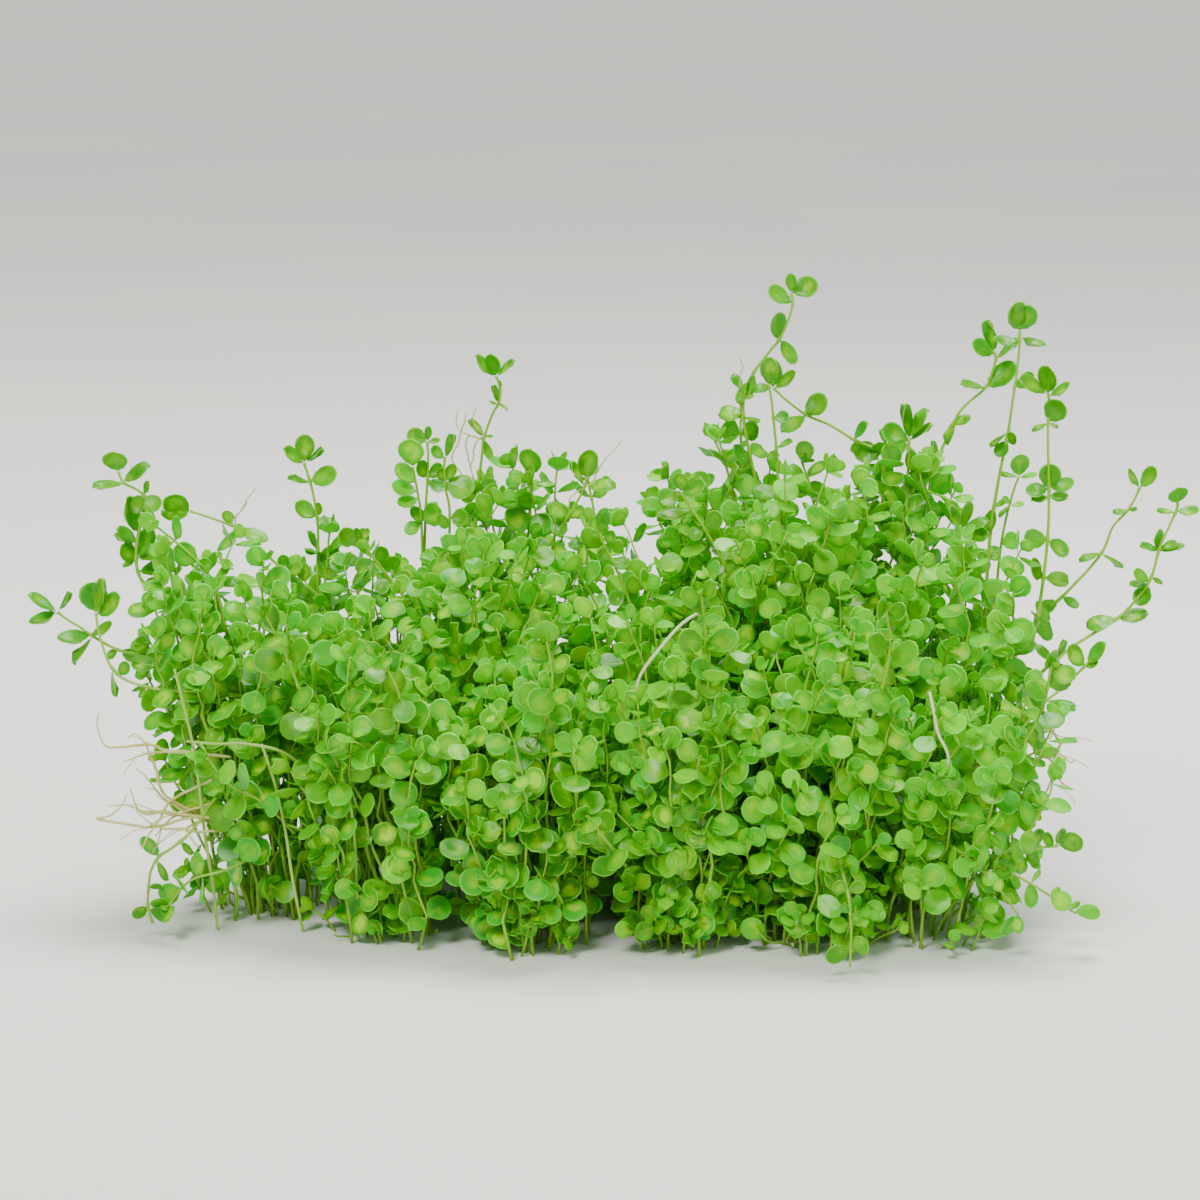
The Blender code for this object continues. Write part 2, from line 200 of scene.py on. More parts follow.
def leafMesh(name, leaves, forms):
    # joins every leaf of a piece in one mesh; a leaf is (place, along, up, size, kind, tone, hue, pale)
    parts = {"co": [], "uv": [], "tone": [], "place": [], "sizes": [], "loops": []}
    offset = 0
    for kind, form in forms.items():
        chosen = [leaf for leaf in leaves if leaf[4] == kind]
        if not chosen:
            continue
        place = np.array([leaf[0][:] for leaf in chosen])
        along = np.array([leaf[1][:] for leaf in chosen])
        up = np.array([leaf[2][:] for leaf in chosen])
        across = np.cross(along, up)
        size = np.array([leaf[3] for leaf in chosen])
        co = form["co"]
        turned = (co[None, :, 0, None] * across[:, None] + co[None, :, 1, None] * along[:, None]
                  + co[None, :, 2, None] * up[:, None])
        parts["co"].append((place[:, None] + turned * size[:, None, None]).reshape(-1, 3))
        count = len(chosen)
        tone = np.array([[*leaf[5:8], 1] for leaf in chosen])
        parts["tone"].append(np.repeat(tone, form["n"], axis=0))
        marks = np.stack([form["rim"], form["side"], form["uv"][:, 1], np.ones(form["n"])], 1)
        parts["place"].append(np.tile(marks, (count, 1)))
        parts["uv"].append(np.tile(form["uv"][form["loops"]], (count, 1)))
        parts["sizes"].append(np.tile(form["sizes"], count))
        firsts = (np.arange(count) * form["n"])[:, None]
        parts["loops"].append((form["loops"][None] + firsts).ravel() + offset)
        offset += count * form["n"]
    arrays = {key: np.concatenate(value) for key, value in parts.items()}
    mesh = bpy.data.meshes.new(name)
    mesh.vertices.add(len(arrays["co"]))
    mesh.vertices.foreach_set("co", arrays["co"].astype(np.float32).ravel())
    mesh.loops.add(len(arrays["loops"]))
    mesh.loops.foreach_set("vertex_index", arrays["loops"].astype(np.int32))
    mesh.polygons.add(len(arrays["sizes"]))
    starts = np.concatenate([[0], np.cumsum(arrays["sizes"])[:-1]])
    mesh.polygons.foreach_set("loop_start", starts.astype(np.int32))
    mesh.update(calc_edges=True)
    mesh.polygons.foreach_set("use_smooth", np.ones(len(starts), bool))
    uvMap = mesh.uv_layers.new(name="UVMap")
    uvMap.data.foreach_set("uv", arrays["uv"].astype(np.float32).ravel())
    for key in ("tone", "place"):
        marks = mesh.attributes.new(key, "FLOAT_COLOR", "POINT")
        marks.data.foreach_set("color", arrays[key].astype(np.float32).ravel())
    mesh.update()
    obj = bpy.data.objects.new(name, mesh)
    bpy.context.scene.collection.objects.link(obj)
    return obj


def stemCurve(name, stems, resolution=1):
    # stems as the splines of one round curve, each point with its own radius, turned into a mesh
    curve = bpy.data.curves.new(name, "CURVE")
    curve.dimensions = "3D"
    curve.bevel_depth = 1
    curve.bevel_resolution = resolution
    curve.use_fill_caps = True
    for points, radii in stems:
        spline = curve.splines.new("POLY")
        spline.points.add(len(points) - 1)
        spline.points.foreach_set("co", [c for p in points for c in (*p, 1)])
        spline.points.foreach_set("radius", radii)
        spline.use_smooth = True
    obj = bpy.data.objects.new(name, curve)
    bpy.context.scene.collection.objects.link(obj)
    choose(obj)
    bpy.ops.object.convert(target="MESH")
    obj = bpy.context.object
    # the end caps are loose from the tube until their doubles are merged
    bpy.ops.object.mode_set(mode="EDIT")
    bpy.ops.mesh.select_all(action="SELECT")
    bpy.ops.mesh.remove_doubles(threshold=0.01 * mm)
    bpy.ops.mesh.normals_make_consistent(inside=False)
    # feet are cut off flat at the ground
    sizeVerts(obj, lambda c: c.z < 0, (1, 1, 0))
    bpy.ops.object.mode_set(mode="OBJECT")
    return obj


def joinPieces(name, objects):
    deselectAll()
    for obj in objects:
        obj.select_set(True)
    bpy.context.view_layer.objects.active = objects[0]
    bpy.ops.object.join()
    joined = bpy.context.object
    joined.name = name
    joined.data.name = name
    return joined


def smoothRoute(points, step=0.7 * mm, steps=None):
    # a smooth path through the points, with points a step apart or so many steps from one to the next
    ends = [2 * points[0] - points[1], *points, 2 * points[-1] - points[-2]]
    path = []
    for before, start, end, after in zip(ends, ends[1:], ends[2:], ends[3:]):
        count = steps or max(2, round((end - start).length / step))
        for i in range(count):
            t = i / count
            square = (2 * before - 5 * start + 4 * end - after) * t ** 2
            cube = (3 * start - before - 3 * end + after) * t ** 3
            path.append(0.5 * (2 * start + (end - before) * t + square + cube))
    return path + [points[-1]]


def backFromTip(path):
    # distance from the tip of every point of a path
    back = [0.0]
    for a, b in zip(path[:0:-1], path[-2::-1]):
        back.append(back[-1] + (a - b).length)
    return back[::-1]


def placeAt(path, back, distance):
    for i in range(len(path) - 1, 0, -1):
        if back[i - 1] >= distance:
            step = path[i] - path[i - 1]
            share = (distance - back[i]) / max(1e-9, back[i - 1] - back[i])
            return path[i].lerp(path[i - 1], share), step.normalized()
    return path[0], (path[1] - path[0]).normalized()


leafForm = {
    "length": 6.1 * mm,
    "stemRadius": 0.3 * mm,
    "lowest": 2.4 * mm,        # flat leaves stay this far above the ground, for their bend
    "young": ["cupped", "cupped", "round", "folded"],
    "grown": ["round", "round", "round", "cupped", "oval", "folded", "drooping", "notched"],
    "inner": ["inner_round", "inner_oval", "inner_cupped"],
    "wide": ["fine_round", "fine_round", "fine_cupped", "fine_notched"],
    "narrow": ["fine_oval", "fine_folded", "fine_drooping", "fine_cupped"],
    "innerFrom": 24 * mm,     # this far back from a tip, leaves are hidden ones
    # hidden leaves get painted shade: their tone is multiplied by this
    "innerPaintedShade": 0.5,
}


def anyWay(rng, amount):
    return Vector((rng.gauss(0, amount), rng.gauss(0, amount), rng.gauss(0, amount)))


def seenLeaf(rng, spot, along, mark, paint):
    # a leaf as it shows from the front: which way it points in degrees, how long and how wide it looks in
    # millimetres. One that looks wider than long points to the front, and a narrow one shows its edge
    angle, length, width = mark
    kind = rng.choice(leafForm["wide" if width > 0.62 * length else "narrow"])
    widest = bladeForm["kinds"][kind[5:]]["width"]
    size = max(length, width / widest)
    front = Vector((0, -math.cos(cameraView["down"]), math.sin(cameraView["down"])))
    out = Vector((math.cos(math.radians(angle)), 0, math.sin(math.radians(angle))))
    toward = math.acos(min(1, length / size)) + rng.uniform(-0.05, 0.3)
    lean = (out * math.cos(toward) + front * math.sin(toward)).normalized()
    face = (front - lean * front.dot(lean)).normalized()
    side = lean.cross(face)
    if side.dot(along) < 0:
        side = -side
    share = max(0.1, min(0.99, width / (widest * size)))
    up = (face * share + side * math.sqrt(1 - share ** 2)).normalized()
    start = spot + out * leafForm["stemRadius"] * 0.6
    return start, lean, up, size * 1.04 * mm, kind, *paint(rng, start, size * mm / leafForm["length"])


def growLeaves(rng, path, nodes, roll, faceTo, paint, turnOut=(0.45, 1.7)):
    # a pair of leaves at each node, turned a quarter from the pair below; a node is (distance, size, tilt).
    # A whorl leans over toward the light, so the leaves show their faces on the outside of the clump
    back = backFromTip(path)
    first = (path[1] - path[0]).normalized()
    across = Matrix.Rotation(roll, 3, first) @ first.orthogonal().normalized()
    leaves = []
    for number, (distance, size, tilt) in enumerate(nodes):
        if distance > back[0]:
            break
        spot, along = placeAt(path, back, distance)
        side = (across - along * across.dot(along)).normalized()
        if number % 2:
            side = along.cross(side)
        age = "inner" if distance > leafForm["innerFrom"] else "young" if size < 0.9 else "grown"
        if turnOut[0] > 1 and age == "inner":
            age = "grown"
        for sign in (1, -1):
            axis = (along + faceTo * rng.uniform(*turnOut) + anyWay(rng, 0.16)).normalized()
            out = Matrix.Rotation(math.radians(rng.gauss(0, 9)), 3, along) @ (side * sign)
            flat = out - axis * out.dot(axis)
            if flat.length < 0.3:
                flat = out
            flat.normalize()
            lift = math.radians(tilt + rng.gauss(0, 13))
            lean = flat * math.cos(lift) + axis * math.sin(lift)
            up = axis * math.cos(lift) - flat * math.sin(lift) + anyWay(rng, 0.2)
            up = (up - lean * up.dot(lean)).normalized()
            scale = leafForm["length"] * size * rng.uniform(0.84, 1.1)
            start = spot + out * leafForm["stemRadius"] * 0.6
            low = (start + lean * scale).z - 0.45 * scale * abs(up.cross(lean).z)
            if min(start.z, low) < leafForm["lowest"]:
                continue
            tone, hue, pale = paint(rng, start, size)
            # painted shade on the hidden leaves deep in the clump
            if age == "inner":
                tone *= leafForm["innerPaintedShade"]
            leaves.append((start, lean, up, scale, rng.choice(leafForm[age]), tone, hue, pale))
    return leaves


# the close growth: where each tuft stands at fan height, and how it grows
clumpForm = {
    "fanShare": 0.83,
    "fanHeight": 100 * mm,
    "fanMiddle": Vector((0, -8 * mm)),
    "spacing": 7.8 * mm,        # between the tips of the shoots
    "tipsTried": 1500,
    "branch": 18 * mm,
    "low": 0.3,                 # share of the leaves and tips that are kept under bare
}
# at is in millimetres; under bare the leaves are few, stems are those that reach the ground
# shade is how far painted shade darkens a tuft's leaves toward its foot; below zero it is painted light
tufts = {
    "tuft_left_end": {"at": (-86, -4), "tall": 76, "bare": 42, "stems": 48,
                      "creepers": 1, "shade": 0.35, "low": 0.05},
    "tuft_left_back": {"at": (-56, 24), "tall": 72, "bare": 16, "stems": 26, "creepers": 4, "shade": 0.35},
    "tuft_left_front": {"at": (-53, -26), "tall": 62, "bare": 45, "stems": 60,
                        "creepers": 3, "shade": 0.5, "low": 0.07},
    "tuft_middle_back": {"at": (-20, 32), "tall": 88, "bare": 8, "stems": 20, "creepers": 6, "shade": 0.3},
    "tuft_middle": {"at": (-26, -2), "tall": 80, "bare": 10, "stems": 18, "creepers": 0, "shade": 0.5},
    "tuft_middle_front": {"at": (-17, -37), "tall": 60, "bare": 30, "stems": 40,
                          "creepers": 5, "shade": 0.75, "low": 0.2},
    "tuft_dip": {"at": (6, 2), "tall": 70, "bare": 10, "stems": 18, "creepers": 0, "shade": 0.5},
    "tuft_centre_front": {"at": (18, -34), "tall": 66, "bare": 4, "stems": 22,
                          "creepers": 11, "shade": 0.4},
    "tuft_right_back": {"at": (27, 33), "tall": 95, "bare": 8, "stems": 22, "creepers": 6, "shade": 0.2},
    "tuft_right": {"at": (42, 0), "tall": 92, "bare": 8, "stems": 20, "creepers": 0, "shade": 0.15},
    "tuft_right_front": {"at": (53, -37), "tall": 66, "bare": 2, "stems": 24,
                         "creepers": 14, "shade": -0.12},
    "tuft_right_rear": {"at": (68, 31), "tall": 92, "bare": 8, "stems": 22, "creepers": 6, "shade": 0.25},
    "tuft_right_side": {"at": (80, -4), "tall": 80, "bare": 12, "stems": 22, "creepers": 3, "shade": -0.1},
    "tuft_right_corner": {"at": (85, -34), "tall": 54, "bare": 15, "stems": 18,
                          "creepers": 1, "shade": -0.2, "low": 0.06},
}
# leafy shoots in millimetres that stand out of a tuft's own growth
sideShoots = {
    "tuft_left_end": {
        "upright": [(-80, 4, 44), (-83.6, 4, 66), (-86.1, 4, 73.5), (-91.5, 4, 79.5), (-98, 4, 85)],
        "inner": [(-76, -10, 38), (-81.3, -12, 50.5), (-85.9, -12, 59), (-90.6, -12, 67.4), (-93, -12, 73)],
        "slant": [(-79.3, 10, 46.8), (-82, 10, 57.1), (-84.2, 10, 63.2), (-86.9, 10, 71.8),
            (-91.1, 10, 75.6), (-95, 10, 78.5), (-97.2, 10, 81.2)],
        "low": [(-72, -24, 18), (-80.6, -30, 15.3), (-88.2, -31, 13.1), (-93, -32, 7.6)],
    },
    "tuft_left_front": {
        "crossing": [(-66, -30, 51), (-61, -34, 48.2), (-54.3, -35, 45.4), (-47.9, -37, 43.2),
            (-41, -40, 41)],
        "leftward": [(-66, -24, 22), (-72, -30, 30), (-79, -34, 35), (-84, -36, 42)],
    },
    "tuft_middle_back": {
        "big_leaved": [(-40.3, 36, 62.7), (-40.8, 36, 81.2), (-41.5, 36, 87), (-42.6, 36, 93.4)],
    },
    "tuft_right_rear": {
        "thin": [(89.3, 30, 54.5), (90.8, 30, 74.1), (92, 30, 82.1), (93.7, 30, 89), (94.8, 30, 92)],
    },
    "tuft_right_corner": {
        "short": [(70, -36, 24), (76.4, -42, 22.1), (82.9, -46, 16.7), (88.3, -48, 10)],
        "long": [(76, -34, 22), (82, -38, 19.5), (91.7, -42, 15.1), (101, -43, 9)],
    },
}
# older stems in millimetres, paler, that cross between the leaves
oldStems = {
    "tuft_left_end": [
        [(-106.4, -14, 57.1), (-103.8, -14, 54.3), (-100, -14, 52.7), (-94.8, -14, 51.6),
            (-85.9, -14, 50.9), (-76.8, -14, 49.6), (-70, -14, 45)],
        [(-83.2, -22, 0), (-83.9, -22, 8), (-85.6, -22.5, 21.6), (-86.6, -23, 32), (-87.6, -24, 41.1),
            (-89.8, -24, 51.4), (-91.5, -23, 58)],
    ],
    "tuft_left_front": [
        [(-64, -22, 36), (-68.8, -26, 40.6), (-76.3, -26, 42.2), (-82.7, -26, 42.2), (-88.9, -26, 42.8)],
        [(-52, -32, 0), (-52.3, -35, 21.2), (-53.2, -36, 31), (-55.5, -36, 39), (-58.8, -36, 46)],
        [(-64.5, -24, 0), (-66.4, -26, 12), (-67.8, -28, 24), (-69.6, -30, 34), (-72.4, -30, 43)],
    ],
    "tuft_centre_front": [
        [(22, -40, 74), (17.4, -45, 72.1), (12.6, -47, 67.2), (8.4, -46, 61), (7, -42, 54)],
    ],
    "tuft_right_corner": [
        [(69.2, -44, 57), (69.9, -49, 53), (70.6, -50, 49.6), (72.8, -49, 44.7), (73, -44, 39)],
    ],
}
youngNodes = [(0.3, 0.56, 62), (1.7, 0.86, 44), (6.6, 1.0, 24), (13.6, 1.04, 10), (21, 1.0, 2)]
sideNodes = [(0.2, 0.35, 70), (0.8, 0.72, 50), (5, 0.94, 30), (11.5, 1.02, 18), (19.5, 1.0, 10),
             (29, 0.94, 4)]


def faceOut(tip):
    # free shoots turn their leaves to the open side, most of all to the front
    return Vector((tip.x * 0.3, tip.y * 0.4 - 0.035, 0.012)).normalized()


def fanShare(height):
    return clumpForm["fanShare"] + (1 - clumpForm["fanShare"]) * height / clumpForm["fanHeight"]


def fanned(spot, height):
    return clumpForm["fanMiddle"] + (spot - clumpForm["fanMiddle"]) * fanShare(height)


def gathered(spot, height):
    return clumpForm["fanMiddle"] + (spot - clumpForm["fanMiddle"]) / fanShare(height)


def solidOf(names):
    points = []
    faces = []
    for name in names:
        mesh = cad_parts[name].data
        first = len(points)
        points += [v.co.copy() for v in mesh.vertices]
        faces += [[first + i for i in p.vertices] for p in mesh.polygons]
    return points, faces


clumpTree = BVHTree.FromPolygons(*solidOf(tufts))


def openTips(name, t, rng):
    # evenly spread points of the tuft's surface that no neighbour hides, with the way they face
    points, faces = solidOf([name])
    areas = []
    for face in faces:
        a, b, c = (points[i] for i in face[:3])
        areas.append((b - a).cross(c - a).length)
    found = []
    for face in rng.choices(faces, weights=areas, k=clumpForm["tipsTried"]):
        a, b, c = (points[i] for i in face[:3])
        u, v = rng.random(), rng.random()
        if u + v > 1:
            u, v = 1 - u, 1 - v
        spot = a + (b - a) * u + (c - a) * v
        normal = (b - a).cross(c - a).normalized()
        low = t.get("low", clumpForm["low"])
        if spot.z < t["bare"] * mm and rng.random() > low or spot.z < 2 * mm or normal.z < -0.6:
            continue
        look = (normal + Vector((0, 0, 0.35))).normalized()
        if clumpTree.ray_cast(spot + look * 0.3 * mm, look, 5 * mm)[0]:
            continue
        if any((spot - other).length < clumpForm["spacing"] for other, _ in found):
            continue
        found.append((spot, normal))
    return found


def arc(start, startWay, end, endWay, steps):
    reach = (end - start).length
    a = start + startWay * reach * 0.38
    b = end - endWay * reach * 0.34
    path = []
    for i in range(steps + 1):
        t = i / steps
        path.append(start * (1 - t) ** 3 + a * 3 * t * (1 - t) ** 2 + b * 3 * t * t * (1 - t) + end * t ** 3)
    return path


def waver(path, amount, seed):
    # a slight bend from node to node
    for i, point in enumerate(path[1:-1], 1):
        share = math.sin(math.pi * i / len(path))
        shift = noise.noise_vector(Vector((seed * 7.3, i * 0.55, 0)))
        point += Vector((shift.x, shift.y, shift.z * 0.3)) * amount * share
        point.z = max(point.z, 0.3 * mm)
    return path


def growthPaint(t):
    # painted shade: leaves darker toward the foot by the tuft's shade value, lighter there where it is below
    # zero, and lighter at young leaves
    def paint(rng, spot, size):
        height = min(1, spot.z / (t["tall"] * mm))
        tone = 0.62 - t["shade"] * (1 - height) + rng.gauss(0, 0.24)
        if size < 0.9:
            tone += 0.14
        hue = max(0.0, rng.gauss(0.24, 0.36))
        pale = rng.uniform(0.3, 1) if rng.random() < 0.28 else 0.0
        return min(1, max(0, tone)), min(1, hue), pale
    return paint


def stemRadii(path, thick, thin=0.24, over=40):
    return [(thin + (thick - thin) * min(1, d / (over * mm))) * mm for d in backFromTip(path)]


def growCreepers(rng, t, middle, paint):
    # short leafy shoots that lean out low round the foot, on the side of the clump that is open
    stems = []
    leaves = []
    away = middle - clumpForm["fanMiddle"]
    for _ in range(t["creepers"]):
        angle = math.atan2(away.y, away.x * 0.6) + rng.gauss(0, 0.6)
        way = Vector((math.cos(angle), math.sin(angle), 0))
        foot = fanned(middle, 0).to_3d() + way * rng.uniform(8, 15) * mm
        foot.z = 0
        tip = foot + way * rng.uniform(3, 9) * mm + zAxis * rng.uniform(4, 17) * mm
        path = arc(foot, (way * 0.6 + zAxis).normalized(), tip, (way * 0.7 + zAxis * 0.5).normalized(), 7)
        stems.append((waver(path, 0.6 * mm, rng.random() * 9), stemRadii(path, 0.34)))
        nodes = [(d * mm * 0.72, size * 0.74, tilt) for d, size, tilt in youngNodes]
        leaves += growLeaves(rng, path, nodes, rng.uniform(0, math.tau), way, paint)
    return stems, leaves


def growTuft(number, name, t):
    rng = random.Random(100 + number)
    tips = openTips(name, t, rng)
    middle = Vector(t["at"]) * mm
    paint = growthPaint(t)
    stems, leaves = growCreepers(rng, t, middle, paint)
    for side, route in sideShoots.get(name, {}).items():
        path = smoothRoute([Vector(p) * mm for p in route])
        stems.append((path, stemRadii(path, 0.4, 0.26)))
        if side in seenLeaves:
            leaves += growSeen(rng, path, seenLeaves[side], paint)
            continue
        nodes = [n for n in sideNodes if n[0] * mm < backFromTip(path)[0]]
        nodes = [(d * mm * rng.uniform(0.9, 1.1), s, tilt) for d, s, tilt in nodes]
        leaves += growLeaves(rng, path, nodes, rng.uniform(0, math.tau), faceOut(path[-1]), paint, (1.1, 2.4))
    joints = []            # points that a branch can start from
    tips.sort(key=lambda tip: -tip[0].z - rng.uniform(0, 45) * mm)
    for count, (spot, normal) in enumerate(tips):
        outward = Vector((normal.x, normal.y, max(0.1, normal.z))).normalized()
        # leaves look outward from the clump, and rather to its front than up
        away = Vector((spot.x, spot.y, 0)) - clumpForm["fanMiddle"].to_3d()
        look = Vector((normal.x, normal.y, max(0.15, normal.z * 0.4))) + away.normalized() * 0.5
        if spot.y < 20 * mm:
            look.y -= 0.35
        look.normalize()
        stand = rng.gauss(0.5, 2.8) + (rng.uniform(0, 7) if normal.z > 0.5 and rng.random() < 0.4 else 0)
        tip = spot + outward * max(-6, min(8, stand)) * mm
        tip.z = max(tip.z, 2 * mm)
        sway = Vector((rng.gauss(0, .25), rng.gauss(0, .25), 0))
        endWay = (outward * 0.5 + zAxis * 0.75 + sway).normalized()
        start = None
        if count >= t["stems"] and joints:
            want = tip - endWay * clumpForm["branch"] * rng.uniform(0.7, 1.3)
            start, startWay = min(joints, key=lambda n: (n[0] - want).length)
            if (start - want).length > 14 * mm or start.z > tip.z - 3 * mm:
                start = None
        full = start is None
        if full:
            part = (gathered(tip.xy, tip.z) - middle) * rng.uniform(0.15, 0.85)
            foot = fanned(middle + part, 0)
            start = Vector((foot.x + rng.gauss(0, 1.5) * mm, foot.y + rng.gauss(0, 1.5) * mm, 0))
            away = Vector((tip.x - foot.x, tip.y - foot.y, 0)) * rng.uniform(0.2, 1.0)
            sway = Vector((rng.gauss(0, 6), rng.gauss(0, 6), 0)) * mm
            startWay = (zAxis * (tip.z + 5 * mm) + away + sway).normalized()
        else:
            startWay = (startWay * 0.5 + (tip - start).normalized() * 0.7).normalized()
        length = (tip - start).length
        path = arc(start, startWay, tip, endWay, max(4, round(length / (3.8 * mm))))
        path = waver(path, (2.4 if full else 0.9) * mm, number * 100 + count)
        back = backFromTip(path)
        stems.append((path, stemRadii(path, 0.4 if full else 0.32)))
        nodes = [(d * mm * rng.uniform(0.9, 1.12), s, tilt) for d, s, tilt in youngNodes]
        if full:
            distance = nodes[-1][0]
            while distance < back[0]:
                distance += rng.uniform(6.5, 9.5) * mm
                height = placeAt(path, back, distance)[0].z
                bare = t["bare"] * mm * rng.uniform(0.7, 1.4)
                if height > bare or rng.random() < t.get("low", clumpForm["low"]):
                    nodes.append((distance, rng.uniform(0.6, 0.98), rng.uniform(-18, 8)))
        else:
            nodes = [n for n in nodes if n[0] < length - 2 * mm]
        nodes = [n for n in nodes if placeAt(path, back, n[0])[0].z > 2 * mm]
        leaves += growLeaves(rng, path, nodes, rng.uniform(0, math.tau), look, paint)
        for i in range(2, len(path) - 2):
            if path[i].z > 10 * mm:
                joints.append((path[i], (path[i + 1] - path[i - 1]).normalized()))
    return stems, leaves


# free shoots, each route in millimetres from inside its tuft to its tip, or None if it is read below
shoots = {
    "sprig_left_far": None,
    "sprig_left_bent": None,
    "sprig_left_top": None,
    "sprig_left_arch": None,
    "sprig_left_skyline": None,
    "sprig_left_inner": None,
    "sprig_left_front": [(-60, -24, 40), (-66, -30, 60), (-71, -33, 72)],
    "sprig_left_low": [(-83.3, -20, 29), (-88.3, -26, 22.8), (-92.7, -27, 19.2), (-94.9, -28, 17.9),
        (-96.7, -29, 15), (-97.2, -30, 11.3), (-97.3, -31, 7.3), (-96.2, -32, 4)],
    "sprig_left_rear": [(-82, 16, 40), (-92, 30, 52), (-95, 38, 64)],
    "sprig_middle_a": None,
    "sprig_middle_b": None,
    "sprig_rooted": None,
    "sprig_middle_c": None,
    "sprig_leaning": [(-21, 9, 63), (-17.4, 11, 70.1), (-10.9, 12, 80.2), (-7.1, 12, 85.8),
        (-4.4, 12, 90.3), (-3.3, 12, 92.8), (-2.9, 12, 94.6)],
    "sprig_dip": None,
    "sprig_right_edge": None,
    "sprig_right_second": None,
    "sprig_tallest": None,
    "sprig_right_arch": None,
    "sprig_right_c": None,
    "sprig_right_d": None,
    "sprig_right_e": [(69.6, 46, 74.1), (74.6, 50, 85.4), (78.2, 51, 93.4), (82, 51, 102.2),
        (84.4, 51, 105.7), (88.8, 51, 109.6), (90.5, 51, 113.8), (91.2, 51, 116.6), (90.5, 51, 118.4)],
    "sprig_right_tall": None,
    "sprig_right_tall_b": [(96.4, 10, 57.4), (98.6, 13, 68.8), (99.8, 14, 80.8), (99.9, 14, 91.4),
        (99.5, 14, 100.4), (99.4, 14, 106.2), (99.5, 14, 111.5), (99.2, 14, 113.1)],
    "sprig_right_f": [(80.5, 6, 58.6), (79.6, 7, 69.8), (79.3, 8, 76.6), (80.1, 8, 81.5), (80.3, 8, 83.3)],
    "sprig_far_right_a": None,
    "sprig_far_right_b": [(79, 0, 32.5), (95.6, 0, 50.8), (100.1, 0, 55.1), (104.7, 0, 58.9),
        (113.8, 0, 64.8), (118.8, 0, 70.1), (121.3, 0, 74.4), (122.9, 0, 80.6), (125, 0, 85.7),
        (126.4, 0, 89), (126.6, 0, 90.6)],
    "sprig_far_right_c": [(77.5, -13, 30.5), (90.4, -14, 41.6), (96.8, -14, 48.9), (100, -14, 51.6),
        (104.3, -14, 55.8), (106, -14, 57.6)],
    "sprig_right_low": [(74, -30, 31), (79.5, -36, 26), (83.4, -38, 22.1), (88, -38, 20.5), (93.2, -38, 22),
        (97.5, -38, 22.6)],
    "sprig_right_front": [(84, -36, 36), (92, -46, 52), (94, -50, 64)],
    "sprig_front_right": [(56, -42, 46), (60, -52, 66), (59, -56, 77)],
    "sprig_front_centre": [(20, -34, 48), (22, -45, 68), (21, -49, 79)],
    "sprig_front_middle": [(-14, -38, 42), (-10, -51, 60), (-11, -55, 70)],
    "sprig_front_left": [(-46, -28, 36), (-42, -42, 54), (-46, -47, 66)],
    "sprig_front_low": [(6, -40, 18), (3, -57, 26), (-3, -62, 35)],
    "sprig_front_foot": [(49, -46, 25), (51.6, -56, 17.5), (52.2, -60, 10.9), (52.1, -62, 6.6),
        (51.9, -63, 2.6)],
    "sprig_back_left": [(-52, 34, 44), (-56, 47, 60), (-55, 52, 73)],
    "sprig_back_middle": [(-4, 44, 56), (-1, 56, 74), (-3, 60, 88)],
    "sprig_back_right": [(48, 44, 62), (50, 56, 80), (47, 60, 92)],
}
